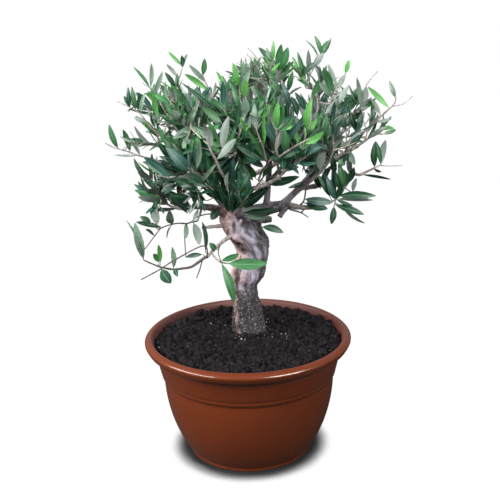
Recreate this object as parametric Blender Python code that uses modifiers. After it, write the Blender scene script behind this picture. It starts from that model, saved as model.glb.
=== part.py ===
"""A small olive tree trained as a bonsai, growing in its round plastic pot.

Metres, +Z up. The origin is the centre of the pot's flat underside. +X is the side of the long
level bough, and -Y is the front.
"""

import math
import random

import bmesh
import bpy
from mathutils import Matrix, Vector
from mathutils.bvhtree import BVHTree

# Clearances
GAP = 0.0003
SPACE_MARGIN = 0.0006
LIMB_CLEARANCE = 0.0007
MERGE_DISTANCE = 0.00001

# Pot: a plastic bowl whose wall rolls outward and down at the rim. Rows of radius and height follow
# the middle of its wall: the rolled lip, the band below it with its groove, and the belly's curve.
POT_STEPS = 30
POT_WALL = 0.0025
LIP = (
    (0.1455, 0.1637),
    (0.1488, 0.1700),
    (0.1476, 0.1730),
    (0.1445, 0.1749),
    (0.1415, 0.1753),
    (0.1390, 0.1731),
    (0.1378, 0.1693),
)
BAND = (
    (0.1362, 0.1632),
    (0.1333, 0.1585),
    (0.1264, 0.1212),
    (0.1228, 0.1170),
)
BELLY = ((0.1232, 0.1130), (0.1222, 0.0700), (0.1075, 0.0285), (0.0900, 0.0060))
BELLY_POINTS = 5
FOOT_RADIUS = 0.0870

# Soil: fills the pot to just below the rim, flat under the trunk and lower towards the wall
SOIL_TOP = 0.1717
SOIL_SURFACE = ((0, SOIL_TOP), (0.0600, SOIL_TOP), (0.1120, 0.1696), (0.1332, 0.1675))
SOIL_INSET = 0.0035

# Trunk: height, centre x, centre y, half width across x, half width across y
TRUNK_BASE = SOIL_TOP + GAP
TRUNK_STATIONS = (
    (TRUNK_BASE, 0.0036, 0.0220, 0.0265, 0.0250),
    (0.1860, 0.0026, 0.0215, 0.0230, 0.0215),
    (0.2120, 0.0012, 0.0205, 0.0205, 0.0190),
    (0.2300, 0.0008, 0.0200, 0.0168, 0.0170),
    (0.2440, -0.0016, 0.0195, 0.0190, 0.0185),
    (0.2580, 0.0026, 0.0190, 0.0252, 0.0220),
    (0.2800, 0.0078, 0.0185, 0.0235, 0.0215),
    (0.2960, 0.0104, 0.0180, 0.0232, 0.0210),
    (0.3130, 0.0060, 0.0170, 0.0275, 0.0230),
    (0.3280, -0.0030, 0.0165, 0.0275, 0.0235),
    (0.3440, -0.0080, 0.0160, 0.0275, 0.0240),
    (0.3560, -0.0074, 0.0160, 0.0235, 0.0215),
    (0.3640, -0.0070, 0.0160, 0.0130, 0.0120),
)
TRUNK_RINGS = 22
TRUNK_SIDES = 16
TRUNK_MEAN_RADIUS = 0.0220
FLUTE_COUNT = 3
FLUTE_DEPTH = 0.045
FLUTE_TWIST = 14.0
RIDGE_COUNT = 5
RIDGE_DEPTH = 0.030
RIDGE_TWIST = -22.0
# Lumps and hollows on the trunk: angle in degrees from +X, height, spread, rise
TRUNK_LUMPS = (
    (-130, 0.3220, 0.011, 0.0050),
    (-60, 0.2980, 0.012, 0.0040),
    (-95, 0.2600, 0.010, 0.0035),
    (-150, 0.2950, 0.008, -0.0035),
    (-125, 0.2480, 0.007, -0.0040),
    (-155, 0.1900, 0.008, 0.0035),
    (70, 0.2650, 0.012, 0.0040),
    (110, 0.3200, 0.012, 0.0045),
)

# Limbs: name, what carries it, how far along that (a height on the trunk), tip, sideways bow of its
# middle, radius at the root, radius at the tip. Each tapers once from root to tip.
LIMB_SIDES = 6
LIMB_RINGS = 5
LIMB_FLARE = 1.7
LIMBS = (
    ("bough_left", "trunk", 0.342, (-0.078, -0.004, 0.367), (0, -0.004, 0.010), 0.0105, 0.0036),
    ("bough_left_up", "trunk", 0.350, (-0.068, 0, 0.478), (0.010, 0, -0.004), 0.0140, 0.0040),
    ("bough_middle", "trunk", 0.352, (-0.016, -0.004, 0.482), (0.008, 0.004, 0), 0.0120, 0.0038),
    ("bough_right", "trunk", 0.342, (0.066, 0.002, 0.3665), (0, 0, 0.004), 0.0170, 0.0068),
    ("bough_right_up", "bough_right", 0.80, (0.134, 0, 0.462), (0.002, 0, -0.005), 0.0056, 0.0036),
    ("bough_up", "bough_right", 0.52, (0.040, -0.002, 0.492), (0.002, 0.002, 0), 0.0052, 0.0034),
    ("bough_front", "trunk", 0.346, (-0.002, -0.070, 0.428), (0, -0.010, -0.004), 0.0110, 0.0036),
    ("bough_back", "trunk", 0.348, (0.012, 0.088, 0.426), (0, 0.010, -0.006), 0.0130, 0.0038),
    ("limb_left_outer", "bough_left_up", 0.62, (-0.098, -0.018, 0.451), (0, 0, -0.004), 0.0038, 0.0026),
    ("limb_left_crest", "bough_left_up", 0.84, (-0.098, 0.006, 0.488), (0, 0.004, -0.003), 0.0032, 0.0024),
    ("limb_mid_left", "bough_left_up", 0.56, (-0.050, -0.034, 0.452), (0, -0.003, -0.004), 0.0036, 0.0026),
    ("limb_top_right", "bough_right_up", 0.52, (0.102, 0, 0.490), (-0.003, 0, 0), 0.0038, 0.0026),
    ("limb_right_outer", "bough_right_up", 0.66, (0.160, 0.004, 0.447), (0, 0.003, -0.003), 0.0034, 0.0026),
    ("limb_right_far", "bough_right_up", 0.30, (0.152, -0.006, 0.411), (0, -0.002, -0.004), 0.0038, 0.0026),
    ("limb_right_low", "bough_right", 0.96, (0.110, -0.014, 0.370), (0, -0.003, -0.004), 0.0042, 0.0028),
    ("limb_right_mid", "bough_right_up", 0.20, (0.108, -0.036, 0.424), (0, -0.004, 0), 0.0038, 0.0026),
    ("limb_top_back", "bough_up", 0.55, (0.026, 0.044, 0.490), (0, 0.004, -0.004), 0.0034, 0.0026),
    ("limb_front_left", "bough_front", 0.62, (-0.036, -0.070, 0.412), (0, -0.003, -0.003), 0.0036, 0.0026),
    ("limb_front_right", "bough_front", 0.72, (0.044, -0.070, 0.420), (0, -0.003, -0.003), 0.0034, 0.0026),
    ("limb_front_low", "bough_front", 0.48, (-0.012, -0.052, 0.374), (0, -0.002, 0), 0.0030, 0.0022),
    ("limb_back_left", "bough_back", 0.56, (-0.046, 0.072, 0.430), (0, 0.004, -0.003), 0.0040, 0.0028),
    ("limb_back_right", "bough_back", 0.64, (0.074, 0.078, 0.424), (0, 0.004, -0.003), 0.0038, 0.0028),
    ("limb_inner_right", "bough_up", 0.30, (0.052, -0.022, 0.424), (0, -0.003, 0), 0.0034, 0.0026),
    ("limb_inner_middle", "bough_middle", 0.55, (0.000, -0.032, 0.452), (0, -0.003, 0), 0.0034, 0.0026),
    ("limb_inner_left", "bough_left_up", 0.36, (-0.044, -0.030, 0.404), (0, -0.003, 0), 0.0034, 0.0026),
    ("twig_low", "trunk", 0.327, (-0.052, -0.040, 0.307), (0, 0, 0.005), 0.0040, 0.0020),
    ("twig_front", "twig_low", 0.90, (-0.035, -0.048, 0.3015), (0, 0, -0.002), 0.0015, 0.0012),
    ("twig_hanging", "bough_left", 0.72, (-0.066, -0.008, 0.349), (0, 0, -0.001), 0.0020, 0.0014),
    ("spur_left", "trunk", 0.334, (-0.060, 0, 0.337), (0, 0, 0.001), 0.0046, 0.0021),
    ("stub_right", "trunk", 0.337, (0.0385, 0.002, 0.345), (0, 0, 0), 0.0060, 0.0038),
)

# Foliage masses: name, the limb that carries it, centre and radius of its space, the tip that its
# stem grows to, and the number of side shoots
MASSES = (
    ("leaves_left_outer", "limb_left_outer", (-0.124, -0.028, 0.464), 0.058, (-0.164, -0.030, 0.466), 4),
    ("leaves_left_crest", "limb_left_crest", (-0.126, 0.006, 0.512), 0.052, (-0.152, 0.002, 0.524), 4),
    ("leaves_left_top", "bough_left_up", (-0.090, 0, 0.532), 0.058, (-0.092, 0, 0.574), 4),
    ("leaves_mid_left", "limb_mid_left", (-0.062, -0.050, 0.490), 0.056, (-0.066, -0.070, 0.522), 4),
    ("leaves_left_low", "bough_left", (-0.110, -0.014, 0.392), 0.056, (-0.142, -0.012, 0.380), 4),
    ("leaves_top_left", "bough_middle", (-0.024, -0.012, 0.534), 0.058, (-0.008, -0.004, 0.576), 4),
    ("leaves_top_middle", "bough_up", (0.042, -0.006, 0.540), 0.058, (0.046, -0.002, 0.582), 4),
    ("leaves_top_right", "limb_top_right", (0.104, 0, 0.538), 0.060, (0.116, 0, 0.582), 4),
    ("leaves_right_top", "bough_right_up", (0.156, 0.004, 0.504), 0.058, (0.182, 0.002, 0.540), 4),
    ("leaves_right_outer", "limb_right_outer", (0.188, 0.006, 0.468), 0.056, (0.222, 0.004, 0.496), 4),
    ("leaves_right_far", "limb_right_far", (0.184, -0.012, 0.420), 0.048, (0.212, -0.008, 0.420), 3),
    ("leaves_right_low", "limb_right_low", (0.142, -0.020, 0.380), 0.052, (0.172, -0.016, 0.364), 3),
    ("leaves_right_mid", "limb_right_mid", (0.116, -0.064, 0.460), 0.060, (0.124, -0.098, 0.486), 5),
    ("leaves_front_right", "limb_front_right", (0.060, -0.106, 0.450), 0.060, (0.072, -0.142, 0.464), 4),
    ("leaves_front_middle", "bough_front", (0.002, -0.114, 0.466), 0.060, (0, -0.150, 0.486), 4),
    ("leaves_front_left", "limb_front_left", (-0.064, -0.102, 0.434), 0.060, (-0.082, -0.138, 0.446), 4),
    ("leaves_front_low", "limb_front_low", (-0.014, -0.084, 0.386), 0.050, (-0.014, -0.110, 0.374), 4),
    ("leaves_inner_right", "limb_inner_right", (0.052, -0.046, 0.446), 0.056, (0.046, -0.066, 0.484), 6),
    ("leaves_inner_middle", "limb_inner_middle", (0.010, -0.050, 0.474), 0.056, (0.012, -0.066, 0.508), 5),
    ("leaves_inner_left", "limb_inner_left", (-0.056, -0.044, 0.420), 0.054, (-0.070, -0.058, 0.446), 5),
    ("leaves_back_left", "limb_back_left", (-0.080, 0.092, 0.462), 0.068, (-0.108, 0.126, 0.486), 5),
    ("leaves_back_middle", "bough_back", (0.014, 0.128, 0.470), 0.068, (0.012, 0.172, 0.494), 5),
    ("leaves_back_right", "limb_back_right", (0.110, 0.096, 0.460), 0.068, (0.136, 0.130, 0.484), 5),
    ("leaves_top_back", "limb_top_back", (0.022, 0.064, 0.534), 0.064, (0.022, 0.080, 0.578), 5),
    ("sprig_low", "twig_low", (-0.104, -0.048, 0.318), 0.056, (-0.138, -0.050, 0.310), 2),
    ("sprig_front", "twig_front", (-0.008, -0.056, 0.290), 0.050, (-0.026, -0.052, 0.297), 0),
    ("sprig_hanging", "twig_hanging", (-0.068, -0.010, 0.328), 0.034, (-0.067, -0.010, 0.335), 0),
)

# Twigs: stems that carry a mass, and the shoots that leave them
TWIG_SIDES = 3
STEM_RINGS = 5
STEM_BEND = 0.45
STEM_SHARE = 0.8
FIRST_SHOOT = 0.35
LAST_SHOOT = 0.80
SHOOT_RINGS = 3
SHOOT_SAG = 0.12
SHOOT_LIFT = 0.45
SHOOT_REACH = 0.72
SHOOT_TRIES = (1.0, 0.85, 0.7, 0.55)
SHOOT_RADIUS = 0.0013
TIP_RADIUS = 0.0007

# Leaves: opposite pairs along each shoot, and one at its tip
LEAF_LENGTH = 0.056
LEAF_WIDTH = 0.0205
LEAF_THICKNESS = 0.0016
LEAF_SIZES = (0.85, 1.1)
LEAF_LIMIT = 1.05
LEAF_SPREAD = 42
LEAF_SPREAD_RANGE = 8
TIP_SPREAD = 8
LEAF_TILT = 0.4
LEAF_ROLL = 1.4
LEAF_NODES = 2
FIRST_NODE = 0.42
LAST_NODE = 0.80
TIP_NODE = 0.97
LEAF_TRIES = 8
LEAF_SHRINK = 0.06
NEXT_TURN = (0.4, 1.2)

# The width and the depth of a triangle in a circle of radius 1, and the even turn round a ball
TRIANGLE_WIDTH = math.sqrt(3)
TRIANGLE_DEPTH = 1.5
GOLDEN_ANGLE = math.pi * (3 - math.sqrt(5))

ROUND_ANGLE = 35
BARK_ROUND_ANGLE = 60
COLOURS = {
    # name: base colour, roughness
    "terracotta_plastic": ((0.42, 0.13, 0.06), 0.32),
    "potting_soil": ((0.030, 0.022, 0.018), 0.95),
    "olive_bark": ((0.27, 0.22, 0.21), 0.85),
    "twig_bark": ((0.36, 0.32, 0.27), 0.80),
    "olive_leaf": ((0.09, 0.20, 0.09), 0.45),
}


def clear_scene():
    for item in list(bpy.data.objects):
        bpy.data.objects.remove(item, do_unlink=True)


def new_collection(name):
    collection = bpy.data.collections.new(name)
    bpy.context.scene.collection.children.link(collection)
    return collection


def make_material(name):
    colour, roughness = COLOURS[name]
    material = bpy.data.materials.new(name)
    material.use_nodes = True
    shader = material.node_tree.nodes["Principled BSDF"]
    shader.inputs["Base Color"].default_value = (*colour, 1.0)
    shader.inputs["Roughness"].default_value = roughness
    shader.inputs["Metallic"].default_value = 0.0
    return material


def make_object(name, solid, collection, material=None):
    """An object made from a bmesh, which is freed."""
    mesh = bpy.data.meshes.new(name)
    solid.to_mesh(mesh)
    solid.free()
    item = bpy.data.objects.new(name, mesh)
    if material:
        mesh.materials.append(material)
    collection.objects.link(item)
    return item


def shade_round(item, degrees):
    item.data.shade_smooth()
    item.data.set_sharp_from_angle(angle=math.radians(degrees))


def apply_modifiers(item):
    graph = bpy.context.evaluated_depsgraph_get()
    mesh = bpy.data.meshes.new_from_object(item.evaluated_get(graph))
    item.modifiers.clear()
    item.data = mesh


# Curves and lofts


def bezier(points, t):
    """A point on the curve that the control points give, for t from 0 to 1."""
    while len(points) > 1:
        points = [a.lerp(b, t) for a, b in zip(points, points[1:])]
    return points[0]


def curve_points(curve, count):
    return [bezier(curve, i / (count - 1)) for i in range(count)]


def smooth_row(rows, at):
    """The row of numbers at a value of the first column, on a smooth curve through the rows."""
    last = len(rows) - 2
    index = max(i for i in range(last + 1) if rows[i][0] <= at or i == 0)
    before, start = rows[max(index - 1, 0)], rows[index]
    end, after = rows[index + 1], rows[min(index + 2, last + 1)]
    t = (at - start[0]) / (end[0] - start[0])
    values = []
    for a, b, c, d in zip(before, start, end, after):
        bend = (c - a) * t + (2 * a - 5 * b + 4 * c - d) * t**2 + (3 * b - 3 * c + d - a) * t**3
        values.append(b + bend / 2)
    return values


def stations(points, radii):
    """Matrices that place a unit circle across a path, turned as little as may be from one to the next."""
    places = []
    turn = None
    for i, (point, radius) in enumerate(zip(points, radii)):
        ahead = (points[min(i + 1, len(points) - 1)] - points[max(i - 1, 0)]).normalized()
        if turn is None:
            turn = Vector((0, 0, 1)).rotation_difference(ahead)
        else:
            turn = heading.rotation_difference(ahead) @ turn
        heading = ahead
        places.append(Matrix.LocRotScale(point, turn, (radius, radius, 1)))
    return places


def grow(places, sides):
    """A closed tapering solid: a disc extruded from each station to the next. Also its rings."""
    solid = bmesh.new()
    bmesh.ops.create_circle(solid, cap_ends=True, segments=sides, radius=1, matrix=places[0])
    end = next(iter(solid.faces))
    rings = [list(end.verts)]
    for before, after in zip(places, places[1:]):
        grown = bmesh.ops.extrude_face_region(solid, geom=[end])["geom"]
        if len(rings) > 1:
            bmesh.ops.delete(solid, geom=[end], context="FACES_ONLY")
        end = next(part for part in grown if isinstance(part, bmesh.types.BMFace))
        bmesh.ops.transform(solid, matrix=after @ before.inverted(), verts=end.verts)
        rings.append(list(end.verts))
    bmesh.ops.recalc_face_normals(solid, faces=solid.faces)
    return solid, rings


# Pot and soil


def turned(name, profile, collection, material=None):
    """A profile of (radius, height) points, turned about the pot's axis."""
    outline = bmesh.new()
    verts = [outline.verts.new((radius, 0, height)) for radius, height in profile]
    for a, b in zip(verts, verts[1:]):
        outline.edges.new((a, b))
    item = make_object(name, outline, collection, material)
    screw = item.modifiers.new("turn", "SCREW")
    screw.axis = "Z"
    screw.steps = POT_STEPS
    screw.render_steps = POT_STEPS
    screw.use_merge_vertices = True
    screw.merge_threshold = MERGE_DISTANCE
    return item


def belly_rows():
    control = [Vector((radius, height)) for radius, height in BELLY]
    return tuple(tuple(point) for point in curve_points(control, BELLY_POINTS + 1))


def make_pot(collection, material):
    foot = ((FOOT_RADIUS, POT_WALL / 2), (0, POT_WALL / 2))
    pot = turned("pot", LIP + BAND + belly_rows() + foot, collection, material)
    wall = pot.modifiers.new("wall", "SOLIDIFY")
    wall.thickness = POT_WALL
    wall.offset = 0
    wall.use_even_offset = True
    shade_round(pot, ROUND_ANGLE)
    return pot


def make_soil(collection, material):
    """The soil follows the inside of the pot, clear of its wall and floor."""
    side = tuple((radius - SOIL_INSET, height) for radius, height in BAND + belly_rows())
    floor = POT_WALL + GAP
    foot = ((FOOT_RADIUS - SOIL_INSET, floor), (0, floor))
    soil = turned("soil", SOIL_SURFACE + side + foot, collection, material)
    shade_round(soil, ROUND_ANGLE)
    return soil


# Trunk


def lump_rise(angle, height):
    """How far the bark stands out at a place on the trunk, from its named lumps and hollows."""
    rise = 0
    for degrees, lump_height, spread, tallest in TRUNK_LUMPS:
        turn = (angle - math.radians(degrees) + math.pi) % (2 * math.pi) - math.pi
        across = turn * TRUNK_MEAN_RADIUS
        rise += tallest * math.exp(-(across**2 + (height - lump_height) ** 2) / spread**2)
    return rise


def flute(angle, height):
    """The trunk's twisting flutes and ridges, as a share of its radius."""
    slow = FLUTE_DEPTH * math.cos(FLUTE_COUNT * angle + FLUTE_TWIST * height)
    quick = RIDGE_DEPTH * math.cos(RIDGE_COUNT * angle + RIDGE_TWIST * height)
    return 1 + slow + quick


def trunk_axis(height):
    _, x, y, _, _ = smooth_row(TRUNK_STATIONS, height)
    return Vector((x, y, height))


def grow_trunk(swell=0):
    """The trunk from its flat cut at the soil to the fork, standing out by an extra swell."""
    top = TRUNK_STATIONS[-1][0]
    places = []
    for i in range(TRUNK_RINGS):
        t = i / (TRUNK_RINGS - 1)
        _, x, y, across, deep = smooth_row(TRUNK_STATIONS, TRUNK_BASE + (top - TRUNK_BASE) * t)
        height = TRUNK_BASE - swell + (top - TRUNK_BASE + 2 * swell) * t
        places.append(Matrix.LocRotScale((x, y, height), None, (across + swell, deep + swell, 1)))
    solid, rings = grow(places, TRUNK_SIDES)
    for ring, place in zip(rings, places):
        centre = place.translation
        for vert in ring:
            out = vert.co - centre
            angle = math.atan2(out.y, out.x)
            rise = lump_rise(angle, centre.z)
            vert.co = centre + out * flute(angle, centre.z) + out.normalized() * rise
    return solid


# Limbs


def limb_curve(limb):
    """Root, middle and tip of a limb, as the control points of its curve."""
    _, carrier, place, tip, bow, _, _ = limb
    root = root_point(carrier, place)
    tip = Vector(tip)
    middle = (root + tip) / 2 + Vector(bow) * 2
    return [root, middle, tip]


def root_point(carrier, place):
    """Where a limb leaves the middle of what carries it."""
    if carrier == "trunk":
        return trunk_axis(place)
    return bezier(limb_curve(limb_named(carrier)), place)


def limb_named(name):
    return next(limb for limb in LIMBS if limb[0] == name)


def limb_heading(limb):
    curve = limb_curve(limb)
    return (curve[2] - curve[1]).normalized()


def grow_limb(limb, swell=0):
    curve = limb_curve(limb)
    root_radius, tip_radius = limb[5], limb[6]
    points = []
    radii = []
    for i in range(LIMB_RINGS):
        t = i / (LIMB_RINGS - 1)
        points.append(bezier(curve, t))
        radii.append(tip_radius + (root_radius - tip_radius) * (1 - t) ** LIMB_FLARE + swell)
    if swell:
        points[0] -= (curve[1] - curve[0]).normalized() * swell
        points[-1] += limb_heading(limb) * swell
    return grow(stations(points, radii), LIMB_SIDES)[0]


def cut_clear(item, cutter):
    cut = item.modifiers.new("seat", "BOOLEAN")
    cut.operation = "DIFFERENCE"
    cut.object = cutter
    cut.solver = "EXACT"


def make_cutter(name, solid, collection):
    cutter = make_object(name, solid, collection)
    cutter.hide_render = True
    cutter.display_type = "WIRE"
    return cutter


def make_limbs(collection, cutters, material):
    """Each limb stands clear of what carries it, by a cut with a slightly swollen copy of that.

    Boughs crowd at the fork, so each one there is also cut clear of those before it.
    """
    swollen = {"trunk": make_cutter("trunk_cutter", grow_trunk(GAP), cutters)}
    carriers = {limb[1] for limb in LIMBS}
    at_fork = []
    limbs = []
    for limb in LIMBS:
        name, carrier = limb[:2]
        item = make_object(name, grow_limb(limb), collection, material)
        if name in carriers or carrier == "trunk":
            swollen[name] = make_cutter(name + "_cutter", grow_limb(limb, GAP), cutters)
        cut_clear(item, swollen[carrier])
        if carrier == "trunk":
            for other in at_fork:
                cut_clear(item, swollen[other])
            at_fork.append(name)
        shade_round(item, BARK_ROUND_ANGLE)
        limbs.append(item)
    return limbs


# Foliage


class Space:
    """The room of one mass: a ball, cut off half way to each other mass, clear of the limbs."""

    def __init__(self, mass, masses, limbs):
        self.centre = Vector(mass[2])
        self.radius = mass[3]
        self.limbs = limbs
        self.walls = []
        for other in masses:
            if other is mass:
                continue
            across = Vector(other[2]) - self.centre
            far = across.length
            reach = (far**2 + self.radius**2 - other[3] ** 2) / (2 * far) - SPACE_MARGIN
            self.walls.append((across.normalized(), reach))

    def holds(self, point):
        out = point - self.centre
        if out.length > self.radius:
            return False
        return all(out.dot(wall) < reach for wall, reach in self.walls)

    def fits(self, solid):
        """Whether a solid keeps to the space and clear of every limb."""
        if not all(self.holds(vert.co) for vert in solid.verts):
            return False
        return not self.limbs.overlap(BVHTree.FromBMesh(solid))


def grow_twig(points, root_radius, tip_radius):
    last = len(points) - 1
    radii = [root_radius + (tip_radius - root_radius) * i / last for i in range(last + 1)]
    return grow(stations(points, radii), TWIG_SIDES)[0]


def grow_leaf(root, ahead, up, length, swell=0):
    """A keeled leaf of six faces from its root, along ahead, its upper side towards up."""
    side = ahead.cross(up).normalized()
    over = side.cross(ahead)
    turn = Matrix((over, side, ahead)).transposed().to_4x4()
    thick = LEAF_THICKNESS / TRIANGLE_DEPTH + swell
    wide = LEAF_WIDTH / TRIANGLE_WIDTH + swell
    size = Matrix.Diagonal((thick, wide, length / 2 + swell, 1))
    place = Matrix.Translation(root + ahead * length / 2) @ turn @ size
    leaf = bmesh.new()
    bmesh.ops.create_uvsphere(leaf, u_segments=3, v_segments=2, radius=1, matrix=place)
    return leaf


def any_direction(seed):
    return Vector((seed.gauss(0, 1), seed.gauss(0, 1), seed.gauss(0, 1))).normalized()


def sphere_direction(index, count, turn):
    """Directions spread evenly over a ball."""
    height = 1 - 2 * (index + 0.5) / count
    flat = math.sqrt(1 - height**2)
    angle = GOLDEN_ANGLE * index + turn
    return Vector((flat * math.cos(angle), flat * math.sin(angle), height))


def along(points, t):
    """The place and heading at a share t of a twig's length, on its straight pieces."""
    step = t * (len(points) - 1)
    index = min(int(step), len(points) - 2)
    start, end = points[index], points[index + 1]
    return start.lerp(end, step - index), (end - start).normalized()


def side_shoots(stem, mass, space, seed):
    """Side shoots: from along the stem outward to points spread over the ball."""
    shoots = []
    count = mass[5]
    turn = seed.uniform(0, 2 * math.pi)
    for index in range(count):
        share = (index + 0.5) / count
        start, _ = along(stem, FIRST_SHOOT + (LAST_SHOOT - FIRST_SHOOT) * share)
        outward = sphere_direction(index, count, turn) + Vector((0, 0, SHOOT_LIFT))
        target = space.centre + outward.normalized() * space.radius * SHOOT_REACH
        for reach in SHOOT_TRIES:
            tip = start.lerp(target, reach)
            sag = Vector((0, 0, SHOOT_SAG * (tip - start).length))
            shoot = curve_points([start, start.lerp(tip, 0.5) - sag, tip], SHOOT_RINGS)
            trial = grow_twig(shoot, SHOOT_RADIUS, TIP_RADIUS)
            fits = space.fits(trial)
            trial.free()
            if fits:
                shoots.append(shoot)
                break
    return shoots


def shoot_leaves(shoot, space, seed, size):
    """Opposite pairs of leaves along a shoot, each pair turned from the last, and one at its tip."""
    leaves = []
    turn = seed.uniform(0, math.pi)
    for node in range(LEAF_NODES):
        t = FIRST_NODE + (LAST_NODE - FIRST_NODE) * node / (LEAF_NODES - 1)
        for side in (0, math.pi):
            leaves.append(leaf_at(shoot, t, turn + side, LEAF_SPREAD, space, seed, size))
        turn += math.pi / 2
    leaves.append(leaf_at(shoot, TIP_NODE, turn, TIP_SPREAD, space, seed, size))
    return [leaf for leaf in leaves if leaf]


def leaf_at(shoot, t, turn, spread, space, seed, size):
    """A leaf on a shoot, turned about it until it fits the space, or None."""
    root, ahead = along(shoot, t)
    aside = ahead.orthogonal().normalized()
    for attempt in range(LEAF_TRIES):
        angle = math.radians(spread + seed.uniform(-LEAF_SPREAD_RANGE, LEAF_SPREAD_RANGE))
        out = Matrix.Rotation(turn, 3, ahead) @ aside
        lean = (ahead * math.cos(angle) + out * math.sin(angle)).normalized()
        length = size * seed.uniform(*LEAF_SIZES) * (1 - LEAF_SHRINK * attempt)
        up = ahead - out * LEAF_TILT + any_direction(seed) * LEAF_ROLL
        trial = grow_leaf(root, lean, up, length, LIMB_CLEARANCE)
        fits = space.fits(trial)
        trial.free()
        if fits:
            return grow_leaf(root, lean, up, length)
        turn += seed.uniform(*NEXT_TURN)
    return None


def make_mass(mass, index, space, collection, material):
    """One mass of foliage: a stem, its shoots and their leaves, joined to one solid."""
    name, carrier, _, _, tip, _ = mass
    seed = random.Random(index + 1)
    limb = limb_named(carrier)
    heading = limb_heading(limb)
    root = Vector(limb[3]) + heading * GAP
    tip = Vector(tip)
    bend = root + heading * (tip - root).length * STEM_BEND
    stem = curve_points([root, bend, tip], STEM_RINGS)
    body = make_object(name, grow_twig(stem, limb[6] * STEM_SHARE, TIP_RADIUS), collection, material)
    bits = new_collection(name + "_bits")
    shoots = side_shoots(stem, mass, space, seed)
    for shoot in shoots:
        make_object(name + "_shoot", grow_twig(shoot, SHOOT_RADIUS, TIP_RADIUS), bits)
    size = min(LEAF_LENGTH, space.radius * LEAF_LIMIT)
    for shoot in [stem] + shoots:
        for leaf in shoot_leaves(shoot, space, seed, size):
            make_object(name + "_leaf", leaf, bits)
    join = body.modifiers.new("join", "BOOLEAN")
    join.operation = "UNION"
    join.operand_type = "COLLECTION"
    join.collection = bits
    join.solver = "MANIFOLD"
    apply_modifiers(body)
    for bit in list(bits.objects):
        bpy.data.objects.remove(bit, do_unlink=True)
    bpy.data.collections.remove(bits)
    return body


def limb_tree(items):
    """One search tree over the finished limbs, trunk, soil and pot."""
    joined = bmesh.new()
    graph = bpy.context.evaluated_depsgraph_get()
    for item in items:
        mesh = bpy.data.meshes.new_from_object(item.evaluated_get(graph))
        joined.from_mesh(mesh)
        bpy.data.meshes.remove(mesh)
    tree = BVHTree.FromBMesh(joined)
    joined.free()
    return tree


def main():
    clear_scene()
    tree = new_collection("olive_bonsai")
    cutters = new_collection("cutters")
    bark = make_material("olive_bark")
    pot = make_pot(tree, make_material("terracotta_plastic"))
    soil = make_soil(tree, make_material("potting_soil"))
    trunk = make_object("trunk", grow_trunk(), tree, bark)
    shade_round(trunk, BARK_ROUND_ANGLE)
    limbs = make_limbs(tree, cutters, make_material("twig_bark"))
    obstacles = limb_tree([pot, soil, trunk, *limbs])
    leaf = make_material("olive_leaf")
    for index, mass in enumerate(MASSES):
        make_mass(mass, index, Space(mass, MASSES, obstacles), tree, leaf)


main()
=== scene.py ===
# %% [markdown]
# # A small olive tree in its pot
# The imported model is loaded first and stays fixed: every new piece is made in its space, in
# metres, with +Z up and -Y to the front.

# %% Load the model
import math
import random
from collections import namedtuple

import bmesh
import bpy
from mathutils import Matrix, Quaternion, Vector, noise
from mathutils.bvhtree import BVHTree
from mathutils.kdtree import KDTree


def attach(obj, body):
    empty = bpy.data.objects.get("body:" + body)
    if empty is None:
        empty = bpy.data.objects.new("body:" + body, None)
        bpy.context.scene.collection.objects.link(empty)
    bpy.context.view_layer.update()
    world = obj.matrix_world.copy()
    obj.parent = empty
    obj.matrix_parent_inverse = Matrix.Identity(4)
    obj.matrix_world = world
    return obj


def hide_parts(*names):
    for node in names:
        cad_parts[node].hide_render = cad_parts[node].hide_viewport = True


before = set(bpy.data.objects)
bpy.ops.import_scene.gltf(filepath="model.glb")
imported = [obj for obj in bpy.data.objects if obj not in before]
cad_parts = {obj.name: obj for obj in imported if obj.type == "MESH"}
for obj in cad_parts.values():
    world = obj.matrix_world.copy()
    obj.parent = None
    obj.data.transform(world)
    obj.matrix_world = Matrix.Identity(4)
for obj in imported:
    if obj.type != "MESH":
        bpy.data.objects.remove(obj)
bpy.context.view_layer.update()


def rounded(box):
    return [[round(value, 4) for value in corner] for corner in box]


# %% [markdown]
# ## Camera
# The picture is taken from about table height at arm's length, a little above the crown and
# looking down into the pot. The camera's axes are built from its pitch, pan and roll, so that each
# angle can be set by itself.

# %% Place the camera
FOCAL_PIXELS = 882.4
FRAME_PIXELS = 500
SENSOR_WIDTH = 36
NEAREST, FARTHEST = 0.05, 500
CAMERA_DISTANCE = 1.2
CAMERA_HEIGHT = 0.6661
PITCH, ROLL, PAN = 0.2945, 0.0282, 0.0056

camera = bpy.data.objects.new("camera", bpy.data.cameras.new("camera"))
bpy.context.scene.collection.objects.link(camera)
camera.data.sensor_width = SENSOR_WIDTH
camera.data.lens = FOCAL_PIXELS / FRAME_PIXELS * SENSOR_WIDTH
camera.data.clip_start, camera.data.clip_end = NEAREST, FARTHEST
ahead = Vector((math.sin(PAN) * math.cos(PITCH), math.cos(PAN) * math.cos(PITCH), -math.sin(PITCH)))
level = Vector((math.cos(PAN), -math.sin(PAN), 0))
down = ahead.cross(level)
right = math.cos(ROLL) * level + math.sin(ROLL) * down
up = -math.cos(ROLL) * down + math.sin(ROLL) * level
camera.matrix_world = Matrix((right, up, -ahead)).transposed().to_4x4()
camera.matrix_world.translation = (0, -CAMERA_DISTANCE, CAMERA_HEIGHT)
bpy.context.scene.camera = camera
bpy.context.scene.view_settings.view_transform = "Standard"
print("lens:", round(camera.data.lens, 1), "mm")

# %% [markdown]
# ## Materials from nodes
# Each finish is a Principled shader fed by procedural patterns. A few helpers add a node, set its
# numbers, join its inputs and lay one colour over another, which keeps every material short enough
# to read.


# %% Helpers for shader nodes
def feed(tree, node, sockets):
    """Gives each of a node's sockets a value, or joins it to an output."""
    for key, value in sockets.items():
        if isinstance(value, bpy.types.NodeSocket):
            tree.links.new(value, node.inputs[key])
        else:
            node.inputs[key].default_value = value


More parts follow.
